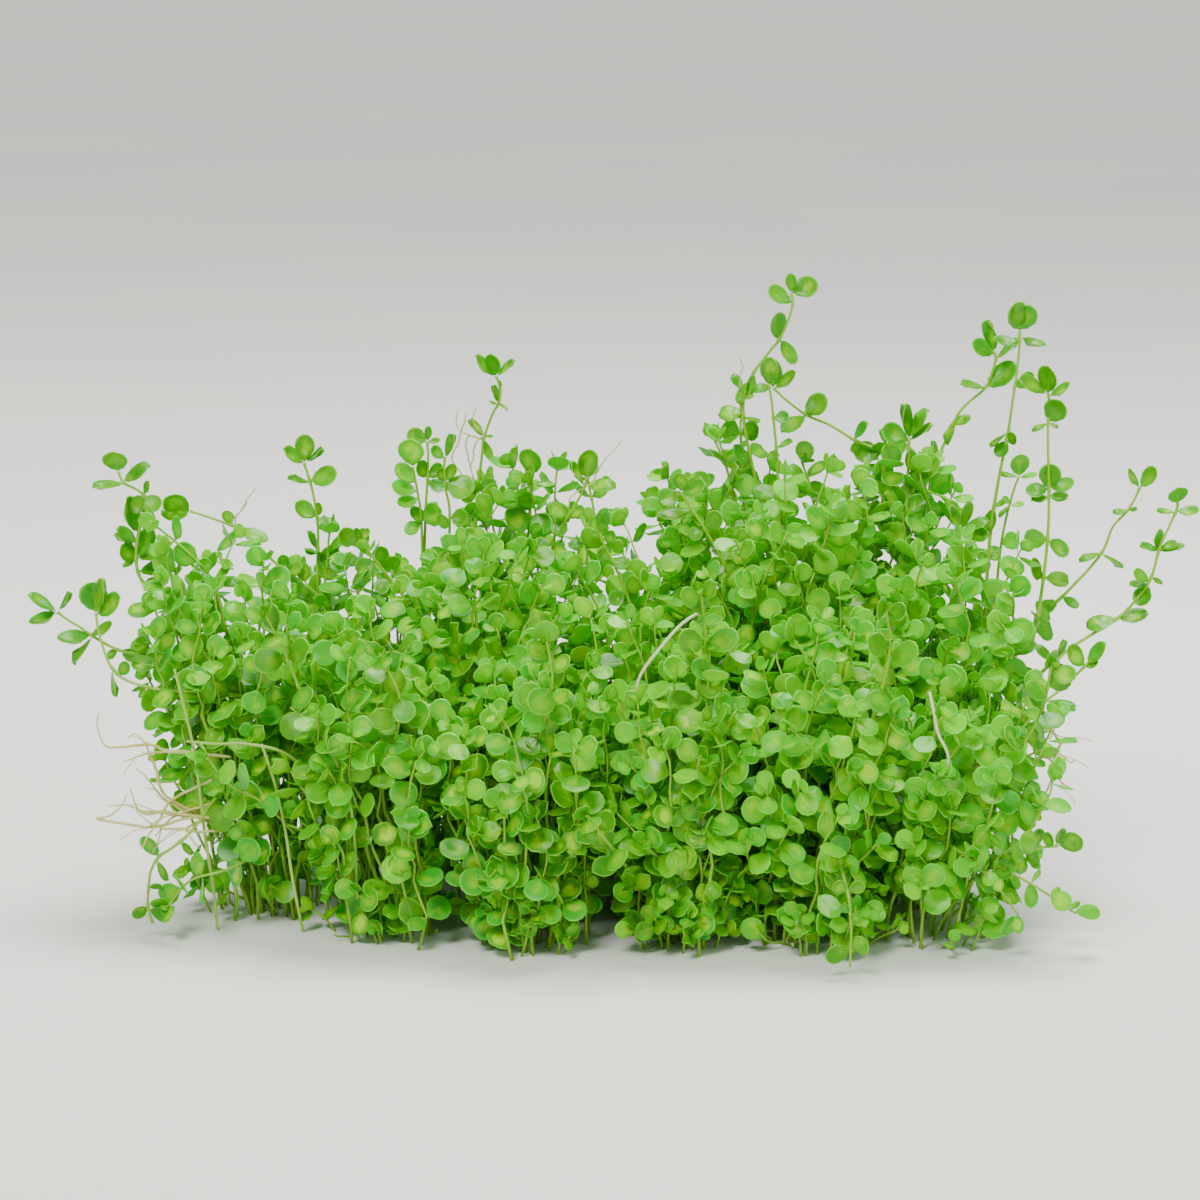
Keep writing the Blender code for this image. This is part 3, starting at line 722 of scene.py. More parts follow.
# clear shoots, read off the photograph: how deep they stand in millimetres, their route in pixels
# from inside the clump to the tip, and in pixels the foot, end and width of each leaf
readings = {
    "sprig_tallest": {
        "depth": 30,
        "route": [(765, 520), (748, 445), (743, 405), (752, 376), (766, 356), (780, 338), (789, 318),
            (793, 302), (791, 293)],
        "marks": [(791, 293, 813, 282, 21), (795, 303, 773, 291, 17), (789, 290, 787, 273, 10),
            (777, 338, 774, 313, 17), (780, 338, 797, 357, 15), (748, 377, 738, 398, 12),
            (757, 372, 752, 392, 10)],
    },
    "sprig_right_arch": {
        "depth": 46,
        "route": [(915, 560), (893, 480), (884, 455), (855, 440), (830, 425), (807, 415), (786, 400),
            (773, 388)],
        "marks": [(775, 388, 792, 370, 10), (770, 387, 749, 384, 10), (771, 384, 769, 356, 21),
            (806, 410, 827, 396, 21), (806, 417, 785, 434, 15), (852, 444, 864, 428, 9),
            (854, 444, 853, 455, 8), (886, 452, 860, 448, 22), (884, 458, 905, 448, 11),
            (885, 450, 880, 437, 16)],
    },
    "sprig_right_c": {
        "depth": 18,
        "route": [(780, 540), (777, 460), (774, 425), (771, 398), (768, 384)],
        "marks": [(765, 384, 770, 360, 16), (763, 386, 748, 388, 9), (774, 418, 788, 417, 13),
            (776, 449, 790, 441, 6), (774, 449, 768, 460, 7)],
    },
    "sprig_right_second": {
        "depth": 40,
        "route": [(744, 520), (741, 440), (741, 400), (743, 388)],
        "marks": [(743, 390, 738, 374, 10), (742, 398, 752, 392, 7), (741, 436, 722, 428, 22),
            (742, 436, 758, 430, 20)],
    },
    "sprig_right_d": {
        "depth": 34,
        "route": [(907, 560), (907, 499), (908, 470), (909, 445), (909, 438)],
        "marks": [(907, 438, 903, 407, 12), (911, 436, 917, 406, 9), (910, 440, 932, 428, 7),
            (909, 441, 885, 430, 21), (908, 447, 914, 467, 14), (908, 474, 938, 464, 24),
            (907, 474, 884, 484, 16)],
    },
    "sprig_right_e": {
        "depth": 51,
        "route": [(900, 540), (922, 492), (938, 458), (955, 420), (966, 405), (985, 388), (993, 370),
            (996, 358), (993, 350)],
        "marks": [(991, 353, 987, 322, 12), (996, 353, 975, 344, 18), (996, 359, 1018, 343, 7),
            (984, 386, 960, 385, 9), (987, 388, 1016, 369, 21), (956, 418, 939, 438, 8),
            (957, 428, 970, 416, 9), (938, 456, 925, 447, 6), (936, 458, 932, 441, 6)],
    },
    "sprig_right_tall": {
        "depth": 26,
        "route": [(984, 640), (988, 567), (992, 520), (1000, 473), (1008, 435), (1013, 400), (1016, 380),
            (1019, 352), (1020, 331)],
        "marks": [(1020, 331, 1013, 305, 22), (1021, 330, 1029, 307, 22), (1021, 338, 1045, 340, 8),
            (1019, 341, 996, 337, 10), (1016, 386, 1034, 377, 14), (1007, 438, 1000, 453, 13),
            (1008, 440, 1018, 434, 13), (1008, 430, 994, 444, 4), (993, 503, 988, 525, 11),
            (994, 503, 1003, 493, 5), (989, 555, 1000, 551, 9), (988, 556, 979, 552, 9)],
    },
    "sprig_right_tall_b": {
        "depth": 14,
        "route": [(1044, 640), (1046, 590), (1048, 537), (1049, 490), (1048, 450), (1048, 424), (1049, 400),
            (1048, 393)],
        "marks": [(1048, 394, 1047, 367, 17), (1051, 396, 1068, 381, 7), (1048, 391, 1020, 380, 16),
            (1048, 423, 1060, 401, 24), (1047, 424, 1031, 426, 6), (1050, 424, 1060, 425, 5),
            (1048, 491, 1048, 467, 22), (1047, 490, 1026, 491, 15), (1052, 488, 1075, 487, 15),
            (1050, 498, 1067, 500, 12), (1047, 499, 1031, 501, 9), (1046, 541, 1024, 543, 20),
            (1048, 543, 1069, 553, 17)],
    },
    "sprig_right_f": {
        "depth": 8,
        "route": [(962, 640), (958, 590), (958, 560), (962, 538), (963, 530)],
        "marks": [(965, 527, 967, 500, 13), (961, 530, 951, 506, 11), (965, 528, 984, 511, 10),
            (962, 530, 984, 538, 17), (959, 548, 950, 560, 9), (958, 580, 938, 566, 24),
            (958, 582, 966, 562, 20)],
    },
    "sprig_far_right_a": {
        "depth": 22,
        "route": [(1000, 680), (1040, 620), (1067, 592), (1090, 568), (1104, 549), (1113, 527), (1128, 510),
            (1137, 495), (1140, 487)],
        "marks": [(1139, 488, 1131, 470, 8), (1140, 488, 1151, 468, 12), (1128, 510, 1115, 508, 6),
            (1130, 510, 1138, 510, 5), (1102, 551, 1081, 551, 7), (1104, 553, 1122, 567, 5),
            (1060, 598, 1043, 610, 13), (1064, 596, 1080, 602, 10)],
    },
    "sprig_far_right_b": {
        "depth": 0,
        "route": [(950, 770), (1033, 681), (1054, 662), (1075, 645), (1117, 619), (1140, 595), (1152, 576),
            (1160, 548), (1170, 525), (1177, 510), (1178, 503)],
        "marks": [(1178, 504, 1175, 484, 21), (1175, 512, 1158, 509, 4), (1177, 512, 1197, 507, 9),
            (1159, 552, 1162, 531, 11), (1158, 550, 1141, 545, 8), (1161, 551, 1177, 544, 8),
            (1163, 552, 1186, 549, 7), (1150, 580, 1134, 574, 13), (1148, 583, 1131, 586, 8),
            (1153, 578, 1162, 585, 6), (1150, 585, 1140, 604, 17), (1116, 618, 1088, 617, 15),
            (1118, 620, 1146, 618, 14), (1054, 660, 1042, 642, 10), (1056, 660, 1064, 642, 8),
            (1056, 662, 1076, 671, 5), (1054, 664, 1057, 690, 17)],
    },
    "sprig_far_right_c": {
        "depth": -14,
        "route": [(950, 790), (1015, 735), (1045, 702), (1060, 690), (1080, 671), (1088, 663)],
        "marks": [(1086, 667, 1068, 651, 18), (1088, 666, 1106, 648, 12), (1086, 668, 1098, 664, 8),
            (1048, 702, 1074, 708, 9), (1044, 700, 1034, 684, 18), (1020, 732, 1048, 722, 13),
            (1018, 736, 1024, 752, 12)],
    },
    "sprig_left_top": {
        "depth": 10,
        "route": [(215, 700), (165, 610), (140, 578), (136, 552), (141, 522), (147, 500), (137, 490),
            (124, 483), (118, 472)],
        "marks": [(117, 471, 113, 447, 25), (124, 486, 95, 491, 9), (124, 481, 142, 459, 13),
            (146, 492, 136, 508, 18), (148, 492, 161, 506, 20), (147, 506, 148, 527, 13),
            (147, 490, 154, 478, 8), (131, 533, 126.6, 497.4, 11), (137, 545, 120, 530, 12),
            (130, 548, 109, 538, 4), (138, 560, 150, 531, 20), (136, 562, 121, 548, 17),
            (124, 560, 111, 566, 7), (145, 560, 175, 543, 11), (143, 572, 171, 560, 16),
            (142, 584, 160, 590, 18)],
    },
    "sprig_left_arch": {
        "depth": 24,
        "route": [(345, 660), (319, 599), (300, 583), (281, 568), (262, 550), (240, 530), (225, 523),
            (205, 516), (190, 511)],
        "marks": [(188, 511, 166, 497, 21), (188, 513, 163, 519, 17), (242, 521, 269, 527, 12),
            (236, 530, 216, 548, 9), (232, 517, 229, 504, 12), (283, 572, 278, 557, 13),
            (285, 570, 300, 565, 12), (286, 574, 303, 594, 13), (300, 578, 307, 561, 14),
            (318, 598, 330, 592, 14), (316, 600, 303, 610, 12)],
    },
    "sprig_left_skyline": {
        "depth": 32,
        "route": [(325, 640), (319, 600), (318, 560), (318, 530), (316, 510), (312, 490), (308, 475),
            (304, 463)],
        "marks": [(304, 463, 303, 438, 20), (302, 464, 282, 452, 12), (304, 463, 322, 449, 5),
            (310, 480, 335, 475, 20), (308, 483, 291, 472, 5), (315, 517, 297, 503, 16),
            (317, 517, 339, 523, 12), (319, 516, 323, 504, 9), (322, 553, 345, 560, 24),
            (317, 553, 307, 548, 6), (317, 550, 315, 531, 5), (318, 562, 331, 579, 15),
            (319, 600, 300, 596, 18), (320, 600, 338, 608, 18)],
    },
    "sprig_left_inner": {
        "depth": 20,
        "route": [(420, 620), (395, 585), (375, 560), (366, 548), (359, 540)],
        "marks": [(360, 540, 340, 534, 20), (354, 526, 353, 514, 9), (358, 534, 366, 523, 8),
            (374, 564, 356, 574, 21), (377, 560, 388, 548, 16), (392, 580, 379, 592, 16),
            (395, 584, 410, 575, 15)],
    },
    "sprig_left_far": {
        "depth": 5,
        "route": [(215, 720), (180, 680), (147, 658), (118, 650), (95, 638), (80, 627), (68, 620),
            (57, 612)],
        "marks": [(54, 610, 27, 597, 10), (55, 612, 29, 618, 11), (57, 613, 69, 594, 5),
            (95, 630, 64, 628, 13), (92, 632, 112, 619, 10), (92, 638, 66, 655, 8),
            (120, 652, 136, 660, 14), (118, 651, 107, 657, 9), (148, 658, 139, 642, 16),
            (150, 660, 166, 668, 15)],
    },
    "sprig_left_bent": {
        "depth": -14,
        "route": [(300, 740), (247, 699), (205, 693), (164, 690), (140, 685), (122, 678), (110, 665),
            (102, 645), (97, 625), (96, 613)],
        "marks": [(95, 613, 91, 585, 27), (97, 613, 108, 582, 14), (99, 614, 124, 600, 20),
            (116, 674, 128, 666, 13), (111, 668, 117, 693, 6), (145, 687, 138, 696, 6),
            (165, 690, 160, 706, 12), (205, 693, 222, 684, 14), (206, 694, 200, 712, 15)],
    },
    "sprig_left_low": {
        "depth": -27,
        "route": [(213, 805), (190, 833), (170, 849), (160, 855), (152, 868), (150, 885), (150, 903),
            (155, 921)],
        "marks": [(163, 856, 149, 836, 16), (161, 858, 173, 876, 10), (150, 885, 162, 880, 7),
            (151, 906, 172, 914, 15), (150, 903, 136, 912, 12), (154, 919, 166, 930, 13),
            (153, 915, 145, 930, 12), (185, 838, 196, 850, 9)],
    },
    "sprig_middle_a": {
        "depth": 38,
        "route": [(424, 560), (426, 506), (428, 475), (428, 455), (427, 442)],
        "marks": [(428, 441, 411, 432, 17), (426, 434, 426, 420, 8), (430, 438, 441, 435, 6),
            (428, 478, 418, 463, 14), (429, 478, 441, 465, 13), (427, 480, 443, 490, 14),
            (426, 512, 412, 518, 18), (427, 512, 443, 512, 18)],
    },
    "sprig_middle_b": {
        "depth": 18,
        "route": [(445, 600), (450, 520), (446, 490), (444, 470), (445, 457)],
        "marks": [(445, 458, 453, 436, 10), (444, 458, 431, 449, 12), (446, 482, 453, 465, 12),
            (447, 482, 474, 492, 26), (445, 482, 438, 470, 9), (450, 520, 436, 526, 17),
            (451, 520, 466, 516, 16)],
    },
    "sprig_rooted": {
        "depth": 44,
        "route": [(474, 560), (477, 500), (482, 455), (484, 438), (492, 415), (499, 402), (500, 388),
            (496, 376)],
        "marks": [(495, 377, 479, 356, 9), (495, 376, 492, 356, 15), (497, 373, 515, 361, 8),
            (499, 403, 494, 387, 6), (501, 404, 508, 411, 4), (496, 404, 490, 399, 3),
            (500, 390, 500, 382, 4), (482, 437, 469, 421, 8), (486, 440, 495, 458, 8),
            (485, 437, 492, 434, 4), (478, 492, 496, 486, 17), (477, 493, 460, 497, 17)],
    },
    "sprig_middle_c": {
        "depth": 28,
        "route": [(526, 570), (530, 509), (532, 490), (531, 474)],
        "marks": [(531, 475, 532, 449, 22), (531, 481, 514, 468, 11), (532, 483, 552, 484, 6),
            (529, 512, 507, 524, 27), (531, 514, 549, 530, 24), (528, 510, 519, 493, 16)],
    },
    "sprig_leaning": {
        "depth": 12,
        "route": [(490, 645), (522, 586), (551, 541), (568, 516), (580, 496), (585, 485), (587, 477)],
        "marks": [(586, 479, 590, 452, 20), (583, 486, 568, 465, 8), (585, 486, 612, 478, 13),
            (568, 517, 549, 509, 15), (569, 520, 585, 511, 12), (566, 520, 556, 535, 16),
            (551, 542, 566, 556, 11), (549, 542, 534, 546, 14)],
    },
    "sprig_dip": {
        "depth": 0,
        "route": [(650, 660), (625, 590), (612, 560), (603, 543), (600, 533)],
        "marks": [(600, 533, 600, 510, 14), (603, 539, 616, 535, 12), (600, 538, 591, 534, 6),
            (612, 560, 598, 552, 15), (613, 560, 628, 566, 14), (625, 590, 640, 582, 18),
            (624, 592, 610, 602, 16)],
    },
    "sprig_right_edge": {
        "depth": 4,
        "route": [(752, 620), (722, 560), (704, 528), (692, 510), (684, 498), (681, 492)],
        "marks": [(681, 494, 659, 500, 19), (685, 489, 708, 484, 17), (690, 480, 691, 462, 15),
            (684, 503, 672, 497, 10), (692, 512, 659, 517, 13), (695, 512, 704, 523, 9),
            (705, 528, 722, 517, 18), (704, 530, 690, 538, 14)],
    },
    "sprig_front_foot": {
        "depth": -60,
        "route": [(836, 870), (850, 905), (851, 925), (850, 945), (849, 965), (848, 982)],
        "marks": [(850, 966, 827, 969, 19), (850, 962, 868, 956, 20), (852, 938, 861, 930, 12),
            (851, 928, 842, 921, 9), (851, 905, 838, 899, 15), (851, 905, 866, 899, 14)],
    },
    "thin": {
        "depth": 30,
        "route": [(992, 640), (1000, 555), (1006, 520), (1014, 490), (1019, 477)],
        "marks": [(1019, 475, 1019, 454, 19), (1018, 475, 1001, 471, 4), (1020, 476, 1036, 476, 6),
            (1008, 505, 996, 512, 4), (1009, 503, 1003, 497, 8), (1010, 505, 1022, 504, 6),
            (1002, 545, 1016, 538, 18), (1001, 547, 990, 555, 12)],
    },
    "slant": {
        "depth": 10,
        "route": [(245, 690), (232, 645), (222, 618), (209, 580), (190, 563), (172, 550), (162, 538)],
        "marks": [(211, 578, 243, 573, 9), (212, 568, 213, 553, 14), (207, 579, 190, 592, 7),
            (222, 618, 207, 604, 12), (223, 620, 239, 610, 14), (232, 645, 217, 655, 15),
            (234, 646, 248, 640, 15)],
    },
    "big_leaved": {
        "depth": 36,
        "route": [(424, 600), (421, 520), (418, 495), (413, 467)],
        "marks": [(413, 467, 411, 440, 25), (412, 484, 396, 465, 16), (409, 493, 386, 489, 16),
            (418, 498, 400, 506, 14), (420, 520, 440, 510, 24), (419, 522, 404, 530, 14)],
    },
    "short": {
        "depth": -46,
        "route": [(990, 858), (970, 878), (950, 890), (925, 908), (908, 923)],
        "marks": [(908, 923, 893, 940, 15), (909, 922, 908, 940, 13), (930, 905, 940, 915, 10),
            (928, 905, 922, 893, 12), (952, 889, 962, 900, 15), (952, 888, 943, 878, 14)],
    },
    "long": {
        "depth": -44,
        "route": [(905, 860), (940, 876), (955, 881), (985, 890), (1010, 897), (1040, 902)],
        "marks": [(984, 891, 991, 914, 16), (986, 889, 998, 880, 7), (1008, 897, 1028, 905, 20),
            (1010, 896, 1016, 886, 8), (1038, 902, 1062, 900, 17), (1034, 901, 1040, 892, 8),
            (955, 881, 946, 894, 15)],
    },
}


# the photograph's view is the camera's, in millimetres; its pixels count from the upper left
photoView = {
    "middle": 600,
    "pixel": 0.22,
    "distance": 900,
    "aim": 69,
    "steps": 24,         # points of a path between two read ones
}


def fromPhoto(px, py, depth):
    # the place in millimetres that a pixel shows at a known depth
    v = photoView
    sine, cosine = math.sin(cameraView["down"]), math.cos(cameraView["down"])
    right = (px - v["middle"]) * v["pixel"] / v["distance"]
    up = (v["middle"] - py) * v["pixel"] / v["distance"]
    reach = (depth + v["distance"] * cosine) / (cosine + up * sine)
    height = v["aim"] + v["distance"] * sine + reach * (up * cosine - sine)
    return round(reach * right, 1), depth, round(height, 1)


def readLeaves(depth, route, marks):
    # leaves in the order of their distance from the tip in millimetres, each with the way it points in
    # degrees, and how long and how wide it looks in millimetres
    left, right = (fromPhoto(px, photoView["middle"], depth)[0] for px in (600, 610))
    pixel = (right - left) / 10
    path = smoothRoute([Vector((*point, 0)) for point in route], steps=photoView["steps"])
    back = backFromTip(path)
    rows = []
    for px, py, endX, endY, width in marks:
        nearest = min(range(len(path)), key=lambda i: math.dist(path[i].xy, (px, py)))
        angle = round(math.degrees(math.atan2(py - endY, endX - px)))
        sizes = (back[nearest], math.dist((px, py), (endX, endY)), width)
        distance, length, wide = (round(size * pixel, 1) for size in sizes)
        rows.append((distance, angle, length, wide))
    return sorted(rows, key=lambda row: row[0])


seenLeaves = {name: readLeaves(**reading) for name, reading in readings.items()}
# the leaves of the low shoot at the right are given here
seenLeaves["sprig_right_low"] = [(0, 20, 5.1, 4.6), (0, 84, 3.6, 2.4), (0.7, 140, 3.3, 2.5),
    (5.5, 73, 4.4, 2.9), (6, -60, 3.6, 2.5), (13, -131, 3.9, 2.9), (13.2, 36, 2.9, 2.1)]


def routeOf(name):
    if shoots[name]:
        return shoots[name]
    return [fromPhoto(px, py, readings[name]["depth"]) for px, py in readings[name]["route"]]


# yellower shoots, by how much of their leaves is pale
paleShoots = {"sprig_leaning": 0.9, "sprig_left_arch": 0.8, "sprig_middle_c": 0.7, "sprig_tallest": 0.4}
shootForm = {
    "nodes": [(0.2, 0.3, 72), (0.8, 0.84, 50), (5, 0.96, 34), (11.4, 1.04, 22), (19, 1.06, 14),
              (27.6, 1.02, 8), (36.6, 0.96, 4), (46, 0.9, 0)],
    "tipRadius": 0.26,
    "footRadius": 0.42,
    "knot": 0.12,        # how far the stem swells at its nodes
    "between": 8.5,      # from pair to pair, where no leaf is seen from the front
}


def growSeen(rng, path, marks, paint):
    back = backFromTip(path)
    leaves = []
    for distance, *mark in marks:
        spot, along = placeAt(path, back, distance * mm)
        leaf = seenLeaf(rng, spot, along, mark, paint)
        start, lean, up, size = leaf[:4]
        if min(start.z, (start + lean * size).z) - 0.45 * size * abs(up.cross(lean).z) > leafForm["lowest"]:
            leaves.append(leaf)
    return leaves


def shootPaint(name):
    def paint(rng, spot, size):
        tone = 0.6 + rng.gauss(0, 0.2) + (0.1 if size < 0.8 else 0)
        hue = max(0.0, rng.gauss(0.25, 0.3))
        pale = rng.uniform(0.2, 0.9) if rng.random() < 0.35 else 0.0
        pale = max(pale, paleShoots.get(name, 0) * rng.uniform(0.6, 1.1))
        return min(1, max(0, tone + 0.3 * paleShoots.get(name, 0))), min(1, hue), min(1, pale)
    return paint


def growShoot(number, name):
    rng = random.Random(500 + number)
    path = smoothRoute([Vector(p) * mm for p in routeOf(name)])
    back = backFromTip(path)
    marks = seenLeaves.get(name, [])
    if marks:
        first = max(m[0] for m in marks) + shootForm["between"]
        nodes = [((first + i * shootForm["between"]) * mm, 0.96, rng.uniform(-6, 12)) for i in range(8)]
    else:
        nodes = []
        for d, size, tilt in shootForm["nodes"]:
            nodes.append((d * mm * (1 if d < 1 else rng.uniform(0.93, 1.07)), size, tilt))
    nodes = [n for n in nodes if n[0] < back[0] - 3 * mm]
    knots = [m[0] * mm for m in marks] + [n[0] for n in nodes]
    radii = []
    for d in back:
        share = min(1, d / (50 * mm))
        radius = shootForm["tipRadius"] + (shootForm["footRadius"] - shootForm["tipRadius"]) * share
        near = min(abs(d - knot) for knot in knots)
        radii.append((radius + shootForm["knot"] * math.exp(-(near / (0.8 * mm)) ** 2)) * mm)
    paint = shootPaint(name)
    leaves = growSeen(rng, path, marks, paint)
    leaves += growLeaves(rng, path, nodes, math.radians(37 * number), faceOut(path[-1]), paint, (1.1, 2.4))
    return [(path, radii)], leaves


# fine water roots, main threads in millimetres; thinner ones fork from them
rootThreads = {
    "roots_left": [
        [(-80, -20, 38), (-88.2, -25, 40.2), (-93.5, -26.1, 40.9), (-96.6, -27.3, 42.2),
            (-100.7, -28.4, 42.2), (-105.4, -29, 42.1), (-107, -29, 44.1), (-107.6, -29, 47.6),
            (-107.1, -29, 49.6)],
        [(-80, -20, 38), (-88.7, -25, 40), (-94.5, -26.5, 40.5), (-98.2, -28, 40.2), (-102.3, -28, 38.6)],
        [(-84, -20, 24), (-93.2, -25, 30.1), (-95.2, -27, 35.6), (-96.6, -29, 41.1), (-97.7, -30, 43.7),
            (-99.4, -30, 45.2), (-101.1, -30, 44.3)],
        [(-84, -20, 23), (-93.2, -25, 29.2), (-96.3, -27.7, 33.5), (-97.6, -29, 36), (-99.5, -29, 37.3)],
        [(-80, -20, 24), (-88.9, -25, 26.3), (-93.6, -27, 27.4), (-97.1, -29, 27.4), (-99.1, -30, 28.6),
            (-100.7, -30, 33.2)],
        [(-80, -20, 25), (-88.9, -25, 25.6), (-93.7, -26.7, 24.5), (-97.8, -28.4, 24.4),
            (-103, -30.1, 25.7), (-108, -31, 26.8), (-105, -31, 27.5), (-102.6, -31, 29.7),
            (-101.3, -31, 32.3)],
        [(-82, -20, 24), (-91.1, -25, 26.3), (-94.7, -27.5, 27.5), (-98.2, -30, 28.3), (-101.4, -30, 29.6),
            (-105.5, -30, 29.4)],
        [(-80, -20, 22), (-86.8, -25, 22.5), (-90.1, -26.6, 23.6), (-94.7, -28.2, 24.2), (-98.4, -29, 26.8),
            (-99.6, -29, 28.5)],
        [(-84, -21, 28), (-91.5, -25, 26.3), (-93.7, -27, 24.6), (-94.7, -28, 22.8), (-95.2, -28, 20.4)],
        [(-84, -20, 33), (-92.3, -25, 29.6), (-95.1, -28, 25.4), (-97.2, -31, 22.6), (-98.3, -31, 20.4),
            (-98.9, -31, 22.2)],
        [(-84, -20, 25), (-89, -25, 23.4), (-87.8, -28, 21.5), (-86.1, -28, 19.5)],
    ],
    "roots_right": [
        [(80, -18, 36), (88.6, -22, 38.4), (91.4, -22.9, 40.8), (93.2, -23.8, 43.7), (96.4, -24.7, 44.8),
            (98.2, -25.6, 43.6), (98.8, -26.5, 42.1), (97.7, -27, 39.5), (96.9, -27, 37.5), (97, -27, 34.3),
            (95.9, -27, 31.6), (94.4, -27, 30.3), (91.7, -27, 30.1)],
        [(80, -18, 35), (88.1, -22, 37.3), (91.4, -24, 38.9), (94.2, -26, 40.4), (96.9, -28, 41.1),
            (99.1, -28, 40), (101.1, -28, 38.4), (101.9, -28, 39.5)],
        [(80, -18, 34), (88.2, -22, 36.5), (91.5, -23.4, 37.7), (93.9, -24.9, 38.6), (95.4, -26.3, 39.4),
            (96.9, -27, 38.9), (98, -27, 36.9), (98.9, -27, 34.3), (101.7, -27, 32.3)],
        [(82, -18, 38), (89.8, -22, 41.3), (92.6, -24, 43.3), (94.5, -26, 43.7), (96.7, -26, 43.3),
            (97.7, -26, 46.1)],
        [(82, -18, 34), (89.1, -22, 35.1), (91.2, -26, 35.8), (93.8, -26, 34.9)],
    ],
}


# single roots in millimetres from the nodes of some shoots
airRoots = {
    "sprig_rooted": [
        [(-26.6, 44, 98.6), (-29.3, 43.4, 99.5), (-31.8, 43.4, 100.7), (-32.8, 43.4, 102.3),
            (-33, 43.4, 104.4), (-32.5, 43.4, 105.7)],
        [(-31.8, 43.4, 100.7), (-31.1, 43, 102.8), (-30.7, 43, 105.3)],
        [(-31.8, 43.4, 100.7), (-32.8, 43, 97.5), (-33.7, 43, 95.2), (-33.3, 43, 93.1), (-31, 43, 89.8),
            (-29.8, 43, 88.5)],
        [(-29.8, 43.4, 99.8), (-30.7, 43, 98.2), (-30.3, 43, 95.2), (-29.6, 43, 91.7), (-28.9, 43, 89.4)],
        [(-27, 44, 99), (-28.2, 42.8, 98.6), (-29.1, 42.6, 95.9), (-29.6, 42.6, 92.2), (-29.1, 42.6, 89.4)],
        [(-26.6, 44, 99), (-27.5, 43, 100.9), (-29.1, 43, 103), (-28.4, 43, 106)],
    ],
    "sprig_leaning": [
        [(-3.3, 12, 92.6), (-1.8, 11.5, 93.1), (0, 11.5, 96.9), (2.2, 11.5, 99.6), (3.8, 11.5, 101.4),
            (4.6, 11.5, 102.9)],
        [(-3.6, 12, 92.1), (-4.4, 12.4, 91.7), (-6.4, 12.4, 89.9), (-6.9, 12.4, 87.4)],
    ],
    "sprig_right_second": [
        [(32.4, 40, 109), (32.3, 39, 110.2), (31.9, 39, 113), (32.5, 39, 115.9), (31.8, 39, 118.2)],
    ],
    "sprig_left_arch": [
        [(-82.6, 24, 81.4), (-82.8, 23.4, 82.9), (-80.3, 23.4, 85.9), (-78.9, 23.4, 88.6),
            (-77.3, 23.4, 90.4)],
        [(-82.2, 24, 81.4), (-81.9, 23, 83.9), (-79.8, 23, 86.2), (-79.3, 23, 87.3)],
        [(-71.7, 24, 72), (-71.9, 23.2, 71), (-74, 23, 69.3), (-75.1, 23, 67.5), (-75.6, 23, 65.6)],
    ],
}


def growRoots(number, routes, forks=1, thick=0.32):
    # the routes are followed closely, and the forks are finer than they are
    rng = random.Random(900 + number)
    threads = []
    for route in routes:
        path = waver(smoothRoute([Vector(p) * mm for p in route], 0.9 * mm), 0.5 * mm, rng.random() * 9)
        back = backFromTip(path)
        threads.append((path, [(0.14 + (thick - 0.14) * min(1, d / (12 * mm))) * mm for d in back]))
        for _ in range(forks):
            i = rng.randrange(len(path) // 3, len(path) - 2)
            way = (path[i + 1] - path[i]).normalized()
            side = (way + Vector((rng.gauss(0, .5), rng.gauss(0, .5), rng.gauss(-.2, .6)))).normalized()
            end = path[i] + side * rng.uniform(4, 9) * mm
            fork = arc(path[i], way, end, (side + Vector((0, 0, -.4))).normalized(), 7)
            fork = waver(fork, 0.7 * mm, rng.random() * 9)
            threads.append((fork, [0.11 * mm] * len(fork)))
    return threads


# paint
def newMaterial(name):
    material = bpy.data.materials.new(name)
    material.use_nodes = True
    tree = material.node_tree
    tree.nodes.clear()
    out = tree.nodes.new("ShaderNodeOutputMaterial")
    return material, tree, out


def addNode(tree, kind, values=None, **settings):
    # each value is a number or colour, or another node's output
    node = tree.nodes.new(kind)
    for key, value in settings.items():
        setattr(node, key, value)
    for key, value in (values or {}).items():
        if isinstance(value, bpy.types.NodeSocket):
            tree.links.new(value, node.inputs[key])
        else:
            node.inputs[key].default_value = value
    return node


def mixColour(tree, factor, a, b):
    # the colour sockets of this node are its seventh, its eighth and its third output
    node = addNode(tree, "ShaderNodeMix", {0: factor, 6: a, 7: b}, data_type="RGBA")
    return node.outputs[2]


def math2(tree, operation, a, b=0.0, clamp=False):
    node = addNode(tree, "ShaderNodeMath", {0: a, 1: b}, operation=operation, use_clamp=clamp)
    return node.outputs[0]


def ramp(tree, value, low, high):
    limits = {"Value": value, "From Min": low, "From Max": high}
    node = addNode(tree, "ShaderNodeMapRange", limits, interpolation_type="SMOOTHSTEP")
    return node.outputs["Result"]


def groupTree(name, inputs, outputs):
    tree = bpy.data.node_groups.new(name, "ShaderNodeTree")
    for label, kind, value in inputs:
        socket = tree.interface.new_socket(label, in_out="INPUT", socket_type=kind)
        if value is not None:
            socket.default_value = value
    for label, kind in outputs:
        tree.interface.new_socket(label, in_out="OUTPUT", socket_type=kind)
    return tree, tree.nodes.new("NodeGroupInput"), tree.nodes.new("NodeGroupOutput")


